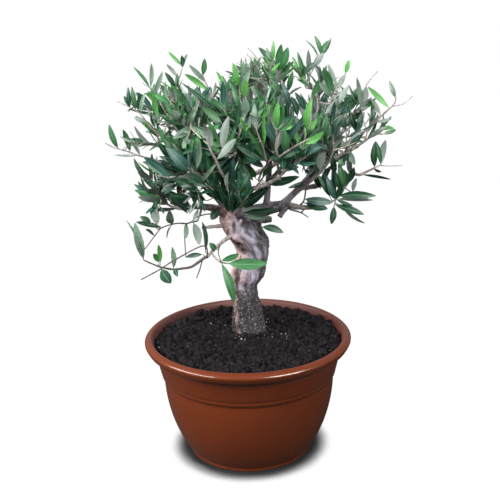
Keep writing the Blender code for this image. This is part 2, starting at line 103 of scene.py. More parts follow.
def add(tree, kind, sockets=None, **settings):
    """A shader node with its settings and its fed sockets."""
    made = tree.nodes.new("ShaderNode" + kind)
    for key, value in settings.items():
        setattr(made, key, value)
    feed(tree, made, sockets or {})
    return made


def mix(tree, mask, low, high, blend="MIX"):
    """One colour laid over another by a mask."""
    tones = {6 + i: tone if isinstance(tone, bpy.types.NodeSocket) else (*tone, 1)
             for i, tone in enumerate((low, high))}
    return add(tree, "Mix", {0: mask, **tones}, data_type="RGBA", blend_type=blend).outputs[2]


def ramp(tree, value, start, end, low=0.0, high=1.0, curve="LINEAR"):
    """A value drawn out from start and end to low and high, and held at both ends."""
    return add(tree, "MapRange", {"Value": value, "From Min": start, "From Max": end, "To Min": low,
                                  "To Max": high}, interpolation_type=curve).outputs["Result"]


def object_place(tree):
    """The place of a point in the piece's own space."""
    return add(tree, "TexCoord").outputs["Object"]


def new_material(name, roughness):
    material = bpy.data.materials.new(name)
    material.use_nodes = True
    tree = material.node_tree
    shader = tree.nodes["Principled BSDF"]
    shader.inputs["Roughness"].default_value = roughness
    return material, tree, shader


print("helpers ready")

# %% [markdown]
# ## Shared patterns
# Plastic, bark, soil and leaves are all mottled, and all are a little rough to the touch. Both
# effects are node groups, placed in each material with its own scale. A group gives out a mask or
# a height only, and the shader stays in the material.


# %% Build the mottle and grain groups
def new_group(name, inputs, outputs):
    group = bpy.data.node_groups.new(name, "ShaderNodeTree")
    for socket, value in inputs.items():
        made = group.interface.new_socket(socket, in_out="INPUT", socket_type="NodeSocketFloat")
        made.default_value = value
    for socket in outputs:
        group.interface.new_socket(socket, in_out="OUTPUT", socket_type="NodeSocketFloat")
    return group, group.nodes.new("NodeGroupInput"), group.nodes.new("NodeGroupOutput")


def make_mottle():
    """Cloudy patches: a noise pushed towards black and white by its contrast."""
    group, given, result = new_group("mottle", {"Scale": 60, "Contrast": 2, "Level": 0.5}, ["Mask"])
    cloud = add(group, "TexNoise", {"Vector": object_place(group), "Scale": given.outputs["Scale"],
                                    "Detail": 3.0, "Roughness": 0.6})
    centred = add(group, "Math", {0: cloud.outputs["Fac"], 1: given.outputs["Level"]},
                  operation="SUBTRACT")
    pushed = add(group, "Math", {0: centred.outputs[0], 1: given.outputs["Contrast"], 2: 0.5},
                 operation="MULTIPLY_ADD", use_clamp=True)
    group.links.new(pushed.outputs[0], result.inputs["Mask"])
    return group


def make_grain():
    """A fine unevenness of the surface, as a height for a bump."""
    group, given, result = new_group("grain", {"Scale": 400, "Long": 1}, ["Height"])
    stretch = add(group, "CombineXYZ", {"X": 1.0, "Y": 1.0, "Z": given.outputs["Long"]})
    spread = add(group, "VectorMath", {0: object_place(group), 1: stretch.outputs[0]},
                 operation="MULTIPLY")
    cloud = add(group, "TexNoise", {"Vector": spread.outputs[0], "Scale": given.outputs["Scale"],
                                    "Detail": 4.0, "Roughness": 0.65})
    group.links.new(cloud.outputs["Fac"], result.inputs["Height"])
    return group


MOTTLE = make_mottle()
GRAIN = make_grain()


def mottle(tree, scale, contrast=2.0, level=0.5):
    return add(tree, "Group", {"Scale": scale, "Contrast": contrast, "Level": level},
               node_tree=MOTTLE).outputs["Mask"]


def grain_bump(tree, scale, depth, strength=1.0, long=1.0):
    grain = add(tree, "Group", {"Scale": scale, "Long": long}, node_tree=GRAIN)
    return add(tree, "Bump", {"Height": grain.outputs["Height"], "Distance": depth,
                              "Strength": strength}).outputs["Normal"]


print("groups:", MOTTLE.name, GRAIN.name)

# %% [markdown]
# ## Studio
# A plant shop photographs its trees on white. A very large pale floor fills the view behind the
# pot. It glows white to the camera and fades to black where little of the room above it is open:
# a painted shadow, which draws the soft dark edge round the pot's foot. It throws back less light
# than white paper would, so that the foot stays dark and the plastic keeps its deep colour.

# %% Lay the floor
FLOOR_SIZE = 150
FLOOR_GLOW = (1.0, 1.0, 1.0)
FLOOR_SEEN = (0.015, 0.015, 0.015)
FLOOR_BOUNCE = (0.050, 0.045, 0.042)
# reach, open range and darkest glow of the painted shadow round the pot's foot
PAINTED_SHADOW_REACH = 0.055
PAINTED_SHADOW_OPEN = (0.44, 0.68)
PAINTED_SHADOW_GLOW = (0.012, 0.012, 0.012)


def make_floor():
    solid = bmesh.new()
    bmesh.ops.create_grid(solid, x_segments=1, y_segments=1, size=FLOOR_SIZE)
    mesh = bpy.data.meshes.new("floor")
    solid.to_mesh(mesh)
    solid.free()
    floor = bpy.data.objects.new("floor", mesh)
    bpy.context.scene.collection.objects.link(floor)
    material, tree, shader = new_material("pale_floor", 0.9)
    seen = add(tree, "LightPath").outputs["Is Camera Ray"]
    # painted shadow: ambient occlusion darkens the floor's glow round the pot's foot
    open_room = add(tree, "AmbientOcclusion", {"Distance": PAINTED_SHADOW_REACH}).outputs["AO"]
    glow_with_painted_shadow = mix(tree, ramp(tree, open_room, *PAINTED_SHADOW_OPEN, curve="SMOOTHSTEP"), PAINTED_SHADOW_GLOW, FLOOR_GLOW)
    feed(tree, shader, {
        "Base Color": mix(tree, seen, FLOOR_BOUNCE, FLOOR_SEEN), "Specular IOR Level": 0.0,
        "Emission Color": mix(tree, seen, (0, 0, 0), glow_with_painted_shadow), "Emission Strength": 1.0,
    })
    mesh.materials.append(material)


make_floor()
print("floor:", 2 * FLOOR_SIZE, "m wide")

# %% [markdown]
# A broad sun overhead lights floor and crown evenly. Soft boxes light the tree from both sides, and
# one more shows only as a streak on the rim. The world behind them looks white to the camera, but
# it adds only a little light and a faint gloss.

# %% Set the lights
BACKDROP_SEEN, BACKDROP_LIGHT, BACKDROP_GLOSS = 1.0, 0.28, 0.38
SUN_STRENGTH = 2.6
SUN_SPREAD = math.radians(50)
SUN_TILT = (math.radians(22), math.radians(-12), 0)
AIM = Vector((0, 0, 0.30))
SOFT_BOXES = (
    # name, place, width, height, watts, whether it lights the tree or only shows as a streak
    ("key_light", (-1.65, -0.75, 1.25), 1.9, 0.55, 80, True),
    ("fill_light", (1.10, -1.30, 1.30), 1.5, 0.16, 30, True),
    ("streak_light", (1.20, -1.40, 1.15), 1.2, 0.80, 70, False),
)


def soft_box(name, place, width, height, watts, lights_tree):
    light = bpy.data.lights.new(name, "AREA")
    light.shape = "RECTANGLE"
    light.size, light.size_y = width, height
    light.energy = watts
    lamp = bpy.data.objects.new(name, light)
    lamp.location = place
    lamp.rotation_euler = (AIM - lamp.location).to_track_quat("-Z", "Y").to_euler()
    lamp.visible_diffuse = lights_tree
    bpy.context.scene.collection.objects.link(lamp)


def overhead_sun():
    sun = bpy.data.lights.new("overhead_sun", "SUN")
    sun.energy = SUN_STRENGTH
    sun.angle = SUN_SPREAD
    lamp = bpy.data.objects.new("overhead_sun", sun)
    lamp.rotation_euler = SUN_TILT
    lamp.visible_glossy = False
    bpy.context.scene.collection.objects.link(lamp)


def make_backdrop():
    world = bpy.data.worlds.new("studio")
    bpy.context.scene.world = world
    world.use_nodes = True
    tree = world.node_tree
    ray = add(tree, "LightPath").outputs
    lit = ramp(tree, ray["Is Glossy Ray"], 0, 1, BACKDROP_LIGHT, BACKDROP_GLOSS)
    strength = ramp(tree, ray["Is Camera Ray"], 0, 1, lit, BACKDROP_SEEN)
    feed(tree, tree.nodes["Background"], {"Color": (1, 1, 1, 1), "Strength": strength})


overhead_sun()
for row in SOFT_BOXES:
    soft_box(*row)
make_backdrop()
print("soft boxes:", len(SOFT_BOXES))

# %% [markdown]
# ## From a bmesh to a finished piece
# A bmesh is Blender's editable mesh. Each piece is shaped in one, then written to an object that
# stays at the origin, so that patterns in object space lie still on it. The piece rides on the
# part's body, hides the imported nodes that it stands for and holds its finishes in slots.

# %% Helpers for pieces
MERGE_DISTANCE = 0.00001
CREASE_ANGLE = 35
FINE_CREASE_ANGLE = 55


def new_mesh(name, solid):
    mesh = bpy.data.meshes.new(name)
    solid.to_mesh(mesh)
    solid.free()
    return mesh


def new_piece(name, mesh, materials, nodes, round_angle=None):
    for material in materials:
        mesh.materials.append(material)
    piece = bpy.data.objects.new(name, mesh)
    bpy.context.scene.collection.objects.link(piece)
    if round_angle:
        mesh.shade_smooth()
        mesh.set_sharp_from_angle(angle=math.radians(round_angle))
    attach(piece, "root")
    if nodes:
        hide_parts(*nodes)
    mesh.calc_loop_triangles()
    print(f"{name}: {len(mesh.vertices)} points, {len(mesh.loop_triangles)} triangles")


def spun(profile, steps):
    """A line of (radius, height) points turned once about the upright axis and closed."""
    solid = bmesh.new()
    verts = [solid.verts.new((radius, 0, height)) for radius, height in profile]
    edges = [solid.edges.new(pair) for pair in zip(verts, verts[1:])]
    bmesh.ops.spin(solid, geom=verts + edges, cent=(0, 0, 0), axis=(0, 0, 1), angle=2 * math.pi,
                   steps=steps, use_merge=True)
    bmesh.ops.remove_doubles(solid, verts=solid.verts, dist=MERGE_DISTANCE)
    bmesh.ops.recalc_face_normals(solid, faces=solid.faces)
    return solid


print("creases:", CREASE_ANGLE, "and", FINE_CREASE_ANGLE, "degrees")

# %% [markdown]
# Limbs and twigs follow Bezier curves, which two or three points are enough to draw. Outlines that
# pass through a row of measured places use a smooth curve through them all instead.


# %% Helpers for curves
def bezier(points, t):
    """A point on the curve that the control points give, for t from 0 to 1."""
    while len(points) > 1:
        points = [a.lerp(b, t) for a, b in zip(points, points[1:])]
    return points[0]


def curve_points(curve, count):
    return [bezier(curve, i / (count - 1)) for i in range(count)]


def smooth_row(rows, at):
    """The row of numbers at a value of the first column, on a smooth curve through the rows."""
    last = len(rows) - 2
    index = max(i for i in range(last + 1) if rows[i][0] <= at or i == 0)
    before, start = rows[max(index - 1, 0)], rows[index]
    end, after = rows[index + 1], rows[min(index + 2, last + 1)]
    t = (at - start[0]) / (end[0] - start[0])
    values = []
    for a, b, c, d in zip(before, start, end, after):
        bend = (c - a) * t + (2 * a - 5 * b + 4 * c - d) * t**2 + (3 * b - 3 * c + d - a) * t**3
        values.append(b + bend / 2)
    return values


bow = [Vector((0, 0, 0)), Vector((0, 0, 1)), Vector((1, 0, 1))]
print("middle of a bow:", rounded([bezier(bow, 0.5)]))

# %% [markdown]
# ## Pot
# The pot is one thin moulded wall: it rises from a foot ring, swells into a belly, steps out to a
# plain band and rolls over outward at the rim. The middle of the wall is drawn as a line, offset to
# both sides by half its thickness, closed round the lip's edge, and spun. A line that is spun gives
# the same even wall that a mould gives.

# %% Draw the wall's middle line
POT_WALL = 0.0025
LIP = ((0.1455, 0.1637), (0.1488, 0.1700), (0.1476, 0.1730), (0.1445, 0.1749), (0.1415, 0.1753),
       (0.1394, 0.1731), (0.1384, 0.1693), (0.1372, 0.1632), (0.1350, 0.1585))
LIP_STEPS = 5
BAND_FOOT = (0.1264, 0.1212)
WAIST = (0.1228, 0.1170)
BELLY = ((0.1232, 0.1130), (0.1222, 0.0700), (0.1075, 0.0285), (0.0900, 0.0060))
BELLY_STEPS = 26
BAND_STEPS = 8
CORNER_STEPS = 4
CORNER = 0.0016


def rolled_line():
    """The lip and the band under it, smooth through their rows."""
    rows = [(i, *row) for i, row in enumerate(LIP)]
    count = (len(LIP) - 1) * LIP_STEPS
    return [Vector(smooth_row(rows, i / LIP_STEPS)[1:]) for i in range(count)]


def rounded_corner(before, corner, after):
    start = corner + (before - corner).normalized() * CORNER
    end = corner + (after - corner).normalized() * CORNER
    return curve_points([start, corner, end], CORNER_STEPS)


def wall_line():
    """The middle of the wall, from the edge of the lip down to the foot."""
    band = [Vector(LIP[-1]), Vector(BAND_FOOT), Vector(WAIST)]
    belly = curve_points([Vector(row) for row in BELLY], BELLY_STEPS)
    line = rolled_line()
    line += [band[0].lerp(band[1], i / BAND_STEPS) for i in range(BAND_STEPS)]
    line += rounded_corner(band[0], band[1], band[2])
    line += rounded_corner(band[1], band[2], belly[1])
    return line + belly[1:]


def offset(line, distance):
    """The line moved sideways by a distance, square to its own direction."""
    moved = []
    for i, point in enumerate(line):
        before, after = line[max(i - 1, 0)], line[min(i + 1, len(line) - 1)]
        along = (after - before).normalized()
        moved.append(point + Vector((-along.y, along.x)) * distance)
    return moved


wall = wall_line()
print("wall line:", len(wall), "points, from", tuple(wall[0]), "to", tuple(wall[-1]))

# %% [markdown]
# The outside has two fine lines cut round the foot of the band, and the base stands on a ring with
# a shallow recess inside it, as moulded pots do so that they sit flat.

# %% Spin the pot
POT_STEPS = 160
POT_FLOOR = (0.0880, POT_WALL)
GROOVES = (
    # height, depth
    (0.1252, 0.0005),
    (0.1192, 0.0004),
)
GROOVE_WIDTH = 0.0007
GROOVE_CUTS = (-1.0, -0.4, 0, 0.4, 1.0)
OUTER_SKIN = 0.1258
FOOT_RING = (
    (0.0890, 0.0058), (0.0896, 0.0050), (0.0906, 0.0044), (0.0907, 0.0014), (0.0898, 0.0003),
    (0.0886, 0), (0.0806, 0), (0.0796, 0.0008), (0, 0.0008),
)
LIP_EDGE_STEPS = 5


def pot_profile():
    half = POT_WALL / 2
    inside = offset(wall, half)
    outside = offset(wall, -half)
    edge = inside[0] - wall[0]
    lip_edge = []
    for i in range(1, LIP_EDGE_STEPS):
        turn = Matrix.Rotation(math.pi * i / LIP_EDGE_STEPS, 2)
        lip_edge.append(wall[0] + turn @ edge)
    inner = list(reversed(inside + [Vector(POT_FLOOR), Vector((0, POT_WALL))]))
    return inner + lip_edge + outside + [Vector(row) for row in FOOT_RING]


def cut_grooves(solid):
    """Presses the fine lines into the outside of the band."""
    for height, depth in GROOVES:
        for vert in solid.verts:
            away = Vector((vert.co.x, vert.co.y, 0))
            if abs(vert.co.z - height) < 3 * GROOVE_WIDTH and away.length > OUTER_SKIN:
                press = depth * math.exp(-((vert.co.z - height) / GROOVE_WIDTH) ** 2)
                vert.co -= away.normalized() * press


pot_solid = spun(pot_profile(), POT_STEPS)
for height, _ in GROOVES:
    for share in GROOVE_CUTS:
        everything = pot_solid.verts[:] + pot_solid.edges[:] + pot_solid.faces[:]
        bmesh.ops.bisect_plane(pot_solid, geom=everything, plane_no=(0, 0, 1),
                               plane_co=(0, 0, height + share * GROOVE_WIDTH))
cut_grooves(pot_solid)
print("pot:", len(pot_solid.faces), "faces")

# %% [markdown]
# The plastic is a satin terracotta brown. It is moulded in one colour, but handling leaves it
# slightly cloudy, and its skin has a faint orange peel that softens the streaks of light. Inside the
# rim, watering has left a dull film of soil, so colour and roughness change with radius and height.

# %% Finish the pot
PLASTIC_TONES = ((0.104, 0.0190, 0.0045), (0.124, 0.0245, 0.0068))
PLASTIC_FINE = (0.104, 0.0220, 0.0068)
PLASTIC_ROUGHNESS = (0.17, 0.25)
FILM_TONES = ((0.080, 0.019, 0.012), (0.105, 0.033, 0.026))
FILM_ROUGHNESS = 0.62
FILM_EDGE = (0.1412, 0.1436)
FILM_HEIGHT = (0.150, 0.158)


def soil_film(tree):
    """Where the dull film lies: above a height, but not past a radius."""
    flat = add(tree, "VectorMath", {0: object_place(tree), 1: (1, 1, 0)}, operation="MULTIPLY")
    radius = add(tree, "VectorMath", {0: flat.outputs[0]}, operation="LENGTH").outputs["Value"]
    above = add(tree, "SeparateXYZ", {0: object_place(tree)}).outputs["Z"]
    inside_rim = {0: ramp(tree, above, *FILM_HEIGHT), 1: ramp(tree, radius, *FILM_EDGE)}
    return add(tree, "Math", inside_rim, operation="SUBTRACT", use_clamp=True).outputs[0]


def make_plastic():
    material, tree, shader = new_material("terracotta_plastic", PLASTIC_ROUGHNESS[0])
    cloud, fine, film = mottle(tree, 14, 1.4), mottle(tree, 140, 1.2), soil_film(tree)
    base = mix(tree, fine, mix(tree, cloud, *PLASTIC_TONES), PLASTIC_FINE)
    rough = ramp(tree, cloud, 0, 1, *PLASTIC_ROUGHNESS)
    feed(tree, shader, {
        "Base Color": mix(tree, film, base, mix(tree, fine, *FILM_TONES)),
        "Roughness": ramp(tree, film, 0, 1, rough, FILM_ROUGHNESS), "Specular IOR Level": 0.42,
        "Normal": grain_bump(tree, 260, 0.00012, 0.5),
    })
    return material


new_piece("pot_body", new_mesh("pot_body", pot_solid), [make_plastic()], ["pot"], CREASE_ANGLE)

# %% [markdown]
# ## Soil
# Potting soil is a bed of dark, damp crumbs. A disc is spun from fine rings and pushed up and down
# by noise at three sizes, and its side follows the inside of the pot, so that it is a full body.

# %% Spin and roughen the bed
SOIL_TOP = 0.1717
SOIL_SURFACE = ((0, SOIL_TOP), (0.0600, SOIL_TOP), (0.1120, 0.1696), (0.1344, 0.1672))
SOIL_INSET = 0.0035
SOIL_STEPS = 150
SOIL_RING = 0.0018
SOIL_FLOOR = (0.083, 0.0028)
SOIL_SIDE_TOP = 0.16
SOIL_LUMPS = (
    # fineness, rise
    (40, 0.0022),
    (105, 0.0036),
    (250, 0.0020),
)
NOISE_SLICE = 0.3


def soil_height(x, y):
    """The height of the bed at a place, with its lumps."""
    radius = math.hypot(x, y)
    height = SOIL_SURFACE[-1][1]
    for (near, low), (far, high) in zip(SOIL_SURFACE, SOIL_SURFACE[1:]):
        if near <= radius <= far:
            height = low + (high - low) * (radius - near) / (far - near)
    for scale, rise in SOIL_LUMPS:
        height += rise * noise.noise(Vector((x, y, NOISE_SLICE)) * scale)
    return height


def make_soil_bed():
    rim = SOIL_SURFACE[-1][0]
    count = round(rim / SOIL_RING)
    top = [(rim * i / count, SOIL_TOP) for i in range(count + 1)]
    wall_rows = [(point.x - SOIL_INSET, point.y) for point in wall[::4] if point.y < SOIL_SIDE_TOP]
    side = [row for row in wall_rows if row[0] < rim]
    solid = spun(top + side + [SOIL_FLOOR, (0, SOIL_FLOOR[1])], SOIL_STEPS)
    for vert in solid.verts:
        if vert.co.z > SOIL_TOP - 0.001:
            vert.co.z = soil_height(vert.co.x, vert.co.y)
    return solid


soil_solid = make_soil_bed()
print("soil bed:", len(soil_solid.faces), "faces")

# %% [markdown]
# Loose crumbs lie all over the bed, a few large and many small. Each starts as a twenty-sided ball
# and has its corners pulled in and out, and they are joined to the bed's mesh. Small pale chips and
# grains show against the dark crumbs, most of them round the trunk.

# %% Scatter crumbs and chips
CRUMB_COUNT = 3000
CRUMB_SIZES = (0.0011, 0.0066)
CRUMB_LEAN = 2.4
CRUMB_ROUGH = 0.3
CRUMB_FLATNESS = (0.6, 1)
BED_RADIUS = 0.1325
TRUNK_FOOT = Vector((0.0036, 0.0220, 0))
CHIP_COUNT = 300
CHIP_SIZES = (0.0004, 0.0014)
CHIP_LEAN = 2
CHIP_FLATNESS = 0.5
CHIP_SPREAD = 0.030


def drop_crumb(solid, seed, place, size, flat):
    """One uneven crumb, half sunk at its place on the bed."""
    angle = seed.uniform(0, 2 * math.pi)
    turn = Matrix.Rotation(angle, 4, Vector((seed.gauss(0, 1), seed.gauss(0, 1), 1)))
    stretch = Matrix.Diagonal((size, size * seed.uniform(*CRUMB_FLATNESS), size * flat, 1))
    matrix = Matrix.Translation(place) @ turn @ stretch
    ball = bmesh.ops.create_icosphere(solid, subdivisions=1, radius=1, matrix=matrix)
    for vert in ball["verts"]:
        vert.co += (vert.co - place) * seed.uniform(-CRUMB_ROUGH, CRUMB_ROUGH)


def bed_place(seed, spread=None):
    """A place on the bed: anywhere, or gathered round the trunk."""
    if spread:
        x, y = TRUNK_FOOT.x + seed.gauss(0, spread), TRUNK_FOOT.y + seed.gauss(0, spread)
    else:
        angle, radius = seed.uniform(0, 2 * math.pi), BED_RADIUS * math.sqrt(seed.random())
        x, y = radius * math.cos(angle), radius * math.sin(angle)
    if math.hypot(x, y) > BED_RADIUS:
        x, y = x / 2, y / 2
    return Vector((x, y, soil_height(x, y)))


def grain_size(seed, sizes, lean):
    """A size between two, mostly near the smaller."""
    return sizes[0] + (sizes[1] - sizes[0]) * seed.random() ** lean


seed = random.Random(11)
for _ in range(CRUMB_COUNT):
    size = grain_size(seed, CRUMB_SIZES, CRUMB_LEAN)
    drop_crumb(soil_solid, seed, bed_place(seed), size, seed.uniform(*CRUMB_FLATNESS))
chips = bmesh.new()
for i in range(CHIP_COUNT):
    size = grain_size(seed, CHIP_SIZES, CHIP_LEAN)
    place = bed_place(seed, CHIP_SPREAD if i % 3 else None)
    drop_crumb(chips, seed, place + Vector((0, 0, size / 2)), size, CHIP_FLATNESS)
print("crumbs:", CRUMB_COUNT, "chips:", CHIP_COUNT)

# %% [markdown]
# Damp soil is nearly black with brown and cool grey crumbs in it, and matt except for a slight
# shine of moisture. The chips are dry bark and grit, pale tan to grey.

# %% Finish the soil
SOIL_TONES = ((0.0010, 0.0010, 0.0030), (0.0115, 0.0088, 0.0090))
SOIL_FLECKS = (0.060, 0.045, 0.038)
SOIL_ROUGHNESS = (0.60, 0.95)
CHIP_TONES = ((0.17, 0.14, 0.12), (0.50, 0.45, 0.41))


def make_soil_finish():
    material, tree, shader = new_material("potting_soil", SOIL_ROUGHNESS[1])
    base = mix(tree, mottle(tree, 85, 4.5), *SOIL_TONES)
    feed(tree, shader, {
        "Base Color": mix(tree, mottle(tree, 420, 6.0, 0.66), base, SOIL_FLECKS),
        "Roughness": ramp(tree, mottle(tree, 150), 0, 1, *SOIL_ROUGHNESS),
        "Specular IOR Level": 0.10, "Normal": grain_bump(tree, 900, 0.0006),
    })
    return material


def make_chip_finish():
    material, tree, shader = new_material("pale_chips", 0.8)
    feed(tree, shader, {"Base Color": mix(tree, mottle(tree, 60, 5.0), *CHIP_TONES),
                        "Normal": grain_bump(tree, 1200, 0.0003)})
    return material


new_piece("soil_bed", new_mesh("soil_bed", soil_solid), [make_soil_finish()], ["soil"],
          CREASE_ANGLE)
new_piece("soil_chips", new_mesh("soil_chips", chips), [make_chip_finish()], [])

# %% [markdown]
# ## Trunk and boughs
# The trunk is an S with a flare at the soil, a waist, a burl on the right and a wide fork. The
# boughs bow out of it. All of them are described by the same few numbers as in the solid model:
# rows of centre and half widths for the trunk, and for each limb what carries it, its tip, its bow
# and its two radii.

# %% Name the trunk's sizes
TRUNK_BASE = 0.1720
TRUNK_STATIONS = (
    # height, centre x, centre y, half width across x, half width across y
    (TRUNK_BASE, 0.0036, 0.0220, 0.0265, 0.0250),
    (0.1860, 0.0026, 0.0215, 0.0230, 0.0215),
    (0.2120, 0.0012, 0.0205, 0.0205, 0.0190),
    (0.2300, 0.0008, 0.0200, 0.0168, 0.0170),
    (0.2440, -0.0016, 0.0195, 0.0190, 0.0185),
    (0.2580, 0.0026, 0.0190, 0.0252, 0.0220),
    (0.2800, 0.0078, 0.0185, 0.0235, 0.0215),
    (0.2960, 0.0104, 0.0180, 0.0232, 0.0210),
    (0.3130, 0.0060, 0.0170, 0.0275, 0.0230),
    (0.3280, -0.0030, 0.0165, 0.0275, 0.0235),
    (0.3440, -0.0080, 0.0160, 0.0275, 0.0240),
    (0.3560, -0.0074, 0.0160, 0.0235, 0.0215),
    (0.3640, -0.0070, 0.0160, 0.0130, 0.0120),
)
TRUNK_TOP = TRUNK_STATIONS[-1][0]
TRUNK_MEAN_RADIUS = 0.0220
FLUTES = (
    # how many round the trunk, depth, twist with height
    (3, 0.045, 14.0),
    (5, 0.030, -22.0),
)
TRUNK_LUMPS = (
    # angle in degrees from +X, height, spread, rise
    (-130, 0.3220, 0.011, 0.0050),
    (-60, 0.2980, 0.012, 0.0040),
    (-95, 0.2600, 0.010, 0.0035),
    (-150, 0.2950, 0.008, -0.0035),
    (-125, 0.2480, 0.007, -0.0040),
    (-155, 0.1900, 0.008, 0.0035),
    (70, 0.2650, 0.012, 0.0040),
    (110, 0.3200, 0.012, 0.0045),
)
print("trunk:", round(TRUNK_TOP - TRUNK_BASE, 3), "m tall,", len(TRUNK_LUMPS), "lumps")

# %% [markdown]
# Eight boughs share out the crown. Lesser limbs leave them and carry one mass of foliage each, and a
# few thin twigs and dead stubs sit low on the trunk. A named tuple lets each row be read by name.

# %% Name the limbs' sizes
Limb = namedtuple("Limb", "name carrier place tip bow root_radius tip_radius")
LIMB_FLARE = 1.7
LIMBS = [Limb(*row) for row in (
    # name, carrier, place along it, tip, bow, radius at the root, radius at the tip
    ("bough_left", "trunk", 0.342, (-0.078, -0.004, 0.367), (0, -0.004, 0.010), 0.0105, 0.0036),
    ("bough_left_up", "trunk", 0.350, (-0.068, 0, 0.478), (0.010, 0, -0.004), 0.0140, 0.0040),
    ("bough_middle", "trunk", 0.352, (-0.016, -0.004, 0.482), (0.008, 0.004, 0), 0.0120, 0.0038),
    ("bough_right", "trunk", 0.342, (0.066, 0.002, 0.3665), (0, 0, 0.004), 0.0170, 0.0068),
    ("bough_right_up", "bough_right", 0.80, (0.134, 0, 0.462), (0.002, 0, -0.005), 0.0056, 0.0036),
    ("bough_up", "bough_right", 0.52, (0.040, -0.002, 0.492), (0.002, 0.002, 0), 0.0052, 0.0034),
    ("bough_front", "trunk", 0.346, (-0.002, -0.070, 0.428), (0, -0.010, -0.004), 0.0110, 0.0036),
    ("bough_back", "trunk", 0.348, (0.012, 0.088, 0.426), (0, 0.010, -0.006), 0.0130, 0.0038),
    ("limb_left_outer", "bough_left_up", 0.62, (-0.098, -0.018, 0.451), (0, 0, -0.004), 0.0038, 0.0026),
    ("limb_left_crest", "bough_left_up", 0.84, (-0.098, 0.006, 0.488), (0, 0.004, -0.003), 0.0032, 0.0024),
    ("limb_mid_left", "bough_left_up", 0.56, (-0.050, -0.034, 0.452), (0, -0.003, -0.004), 0.0036, 0.0026),
    ("limb_top_right", "bough_right_up", 0.52, (0.102, 0, 0.490), (-0.003, 0, 0), 0.0038, 0.0026),
    ("limb_right_outer", "bough_right_up", 0.66, (0.160, 0.004, 0.447), (0, 0.003, -0.003), 0.0034, 0.0026),
    ("limb_right_far", "bough_right_up", 0.30, (0.152, -0.006, 0.411), (0, -0.002, -0.004), 0.0038, 0.0026),
    ("limb_right_low", "bough_right", 0.96, (0.110, -0.014, 0.370), (0, -0.003, -0.004), 0.0042, 0.0028),
    ("limb_right_mid", "bough_right_up", 0.20, (0.108, -0.036, 0.424), (0, -0.004, 0), 0.0038, 0.0026),
    ("limb_top_back", "bough_up", 0.55, (0.026, 0.044, 0.490), (0, 0.004, -0.004), 0.0034, 0.0026),
    ("limb_front_left", "bough_front", 0.62, (-0.036, -0.070, 0.412), (0, -0.003, -0.003), 0.0036, 0.0026),
    ("limb_front_right", "bough_front", 0.72, (0.044, -0.070, 0.420), (0, -0.003, -0.003), 0.0034, 0.0026),
    ("limb_front_low", "bough_front", 0.48, (-0.012, -0.052, 0.374), (0, -0.002, 0), 0.0030, 0.0022),
    ("limb_back_left", "bough_back", 0.56, (-0.046, 0.072, 0.430), (0, 0.004, -0.003), 0.0040, 0.0028),
    ("limb_back_right", "bough_back", 0.64, (0.074, 0.078, 0.424), (0, 0.004, -0.003), 0.0038, 0.0028),
    ("limb_inner_right", "bough_up", 0.30, (0.052, -0.022, 0.424), (0, -0.003, 0), 0.0034, 0.0026),
    ("limb_inner_middle", "bough_middle", 0.55, (0.000, -0.032, 0.452), (0, -0.003, 0), 0.0034, 0.0026),
    ("limb_inner_left", "bough_left_up", 0.36, (-0.044, -0.030, 0.404), (0, -0.003, 0), 0.0034, 0.0026),
    ("twig_low", "trunk", 0.327, (-0.052, -0.040, 0.307), (0, 0, 0.005), 0.0040, 0.0020),
    ("twig_front", "twig_low", 0.90, (-0.035, -0.048, 0.3015), (0, 0, -0.002), 0.0015, 0.0012),
    ("twig_hanging", "bough_left", 0.72, (-0.066, -0.008, 0.349), (0, 0, -0.001), 0.0020, 0.0014),
    ("spur_left", "trunk", 0.334, (-0.060, 0, 0.337), (0, 0, 0.001), 0.0046, 0.0021),
    ("stub_right", "trunk", 0.337, (0.0385, 0.002, 0.345), (0, 0, 0), 0.0060, 0.0038),
)]
CUT_SPUR = Limb("cut_spur", "bough_right", 0.92, (0.0487, -0.005, 0.3506), (0, -0.001, 0),
                0.0050, 0.0040)
LIMB_NAMED = {limb.name: limb for limb in LIMBS}
THICK_LIMBS = [limb for limb in LIMBS if limb.name.startswith(("bough", "stub"))]
THIN_LIMBS = [limb for limb in LIMBS if limb not in THICK_LIMBS]
print("limbs:", len(LIMBS), "of them thick:", len(THICK_LIMBS))

# %% [markdown]
# Wood grows in rings along a path, so each limb is a disc extruded from station to station. A
# station is a matrix that places a unit circle across the path. Each is turned as little as may be
# from the one before, which keeps the tube from twisting.


# %% Helpers that grow wood along a path
def stations(points, radii):
    places = []
    heading, turn = Vector((0, 0, 1)), Quaternion()
    for i, (point, radius) in enumerate(zip(points, radii)):
        next_heading = (points[min(i + 1, len(points) - 1)] - points[max(i - 1, 0)]).normalized()
        turn = heading.rotation_difference(next_heading) @ turn
        heading = next_heading
        places.append(Matrix.LocRotScale(point, turn, (radius, radius, 1)))
    return places


def grow(places, sides):
    """A closed tapering solid: a disc extruded from each station to the next. Also its rings."""
    solid = bmesh.new()
    bmesh.ops.create_circle(solid, cap_ends=True, segments=sides, radius=1, matrix=places[0])
    end = next(iter(solid.faces))
    rings = [list(end.verts)]
    for before, after in zip(places, places[1:]):
        grown = bmesh.ops.extrude_face_region(solid, geom=[end])["geom"]
        if len(rings) > 1:
            bmesh.ops.delete(solid, geom=[end], context="FACES_ONLY")
        end = next(part for part in grown if isinstance(part, bmesh.types.BMFace))
        bmesh.ops.transform(solid, matrix=after @ before.inverted(), verts=end.verts)
        rings.append(list(end.verts))
    bmesh.ops.recalc_face_normals(solid, faces=solid.faces)
    return solid, rings


def trunk_axis(height):
    _, x, y, _, _ = smooth_row(TRUNK_STATIONS, height)
    return Vector((x, y, height))


def limb_curve(limb):
    """Root, middle and tip of a limb, as the control points of its curve."""
    if limb.carrier == "trunk":
        root = trunk_axis(limb.place)
    else:
        root = bezier(limb_curve(LIMB_NAMED[limb.carrier]), limb.place)
    tip = Vector(limb.tip)
    return [root, (root + tip) / 2 + Vector(limb.bow) * 2, tip]


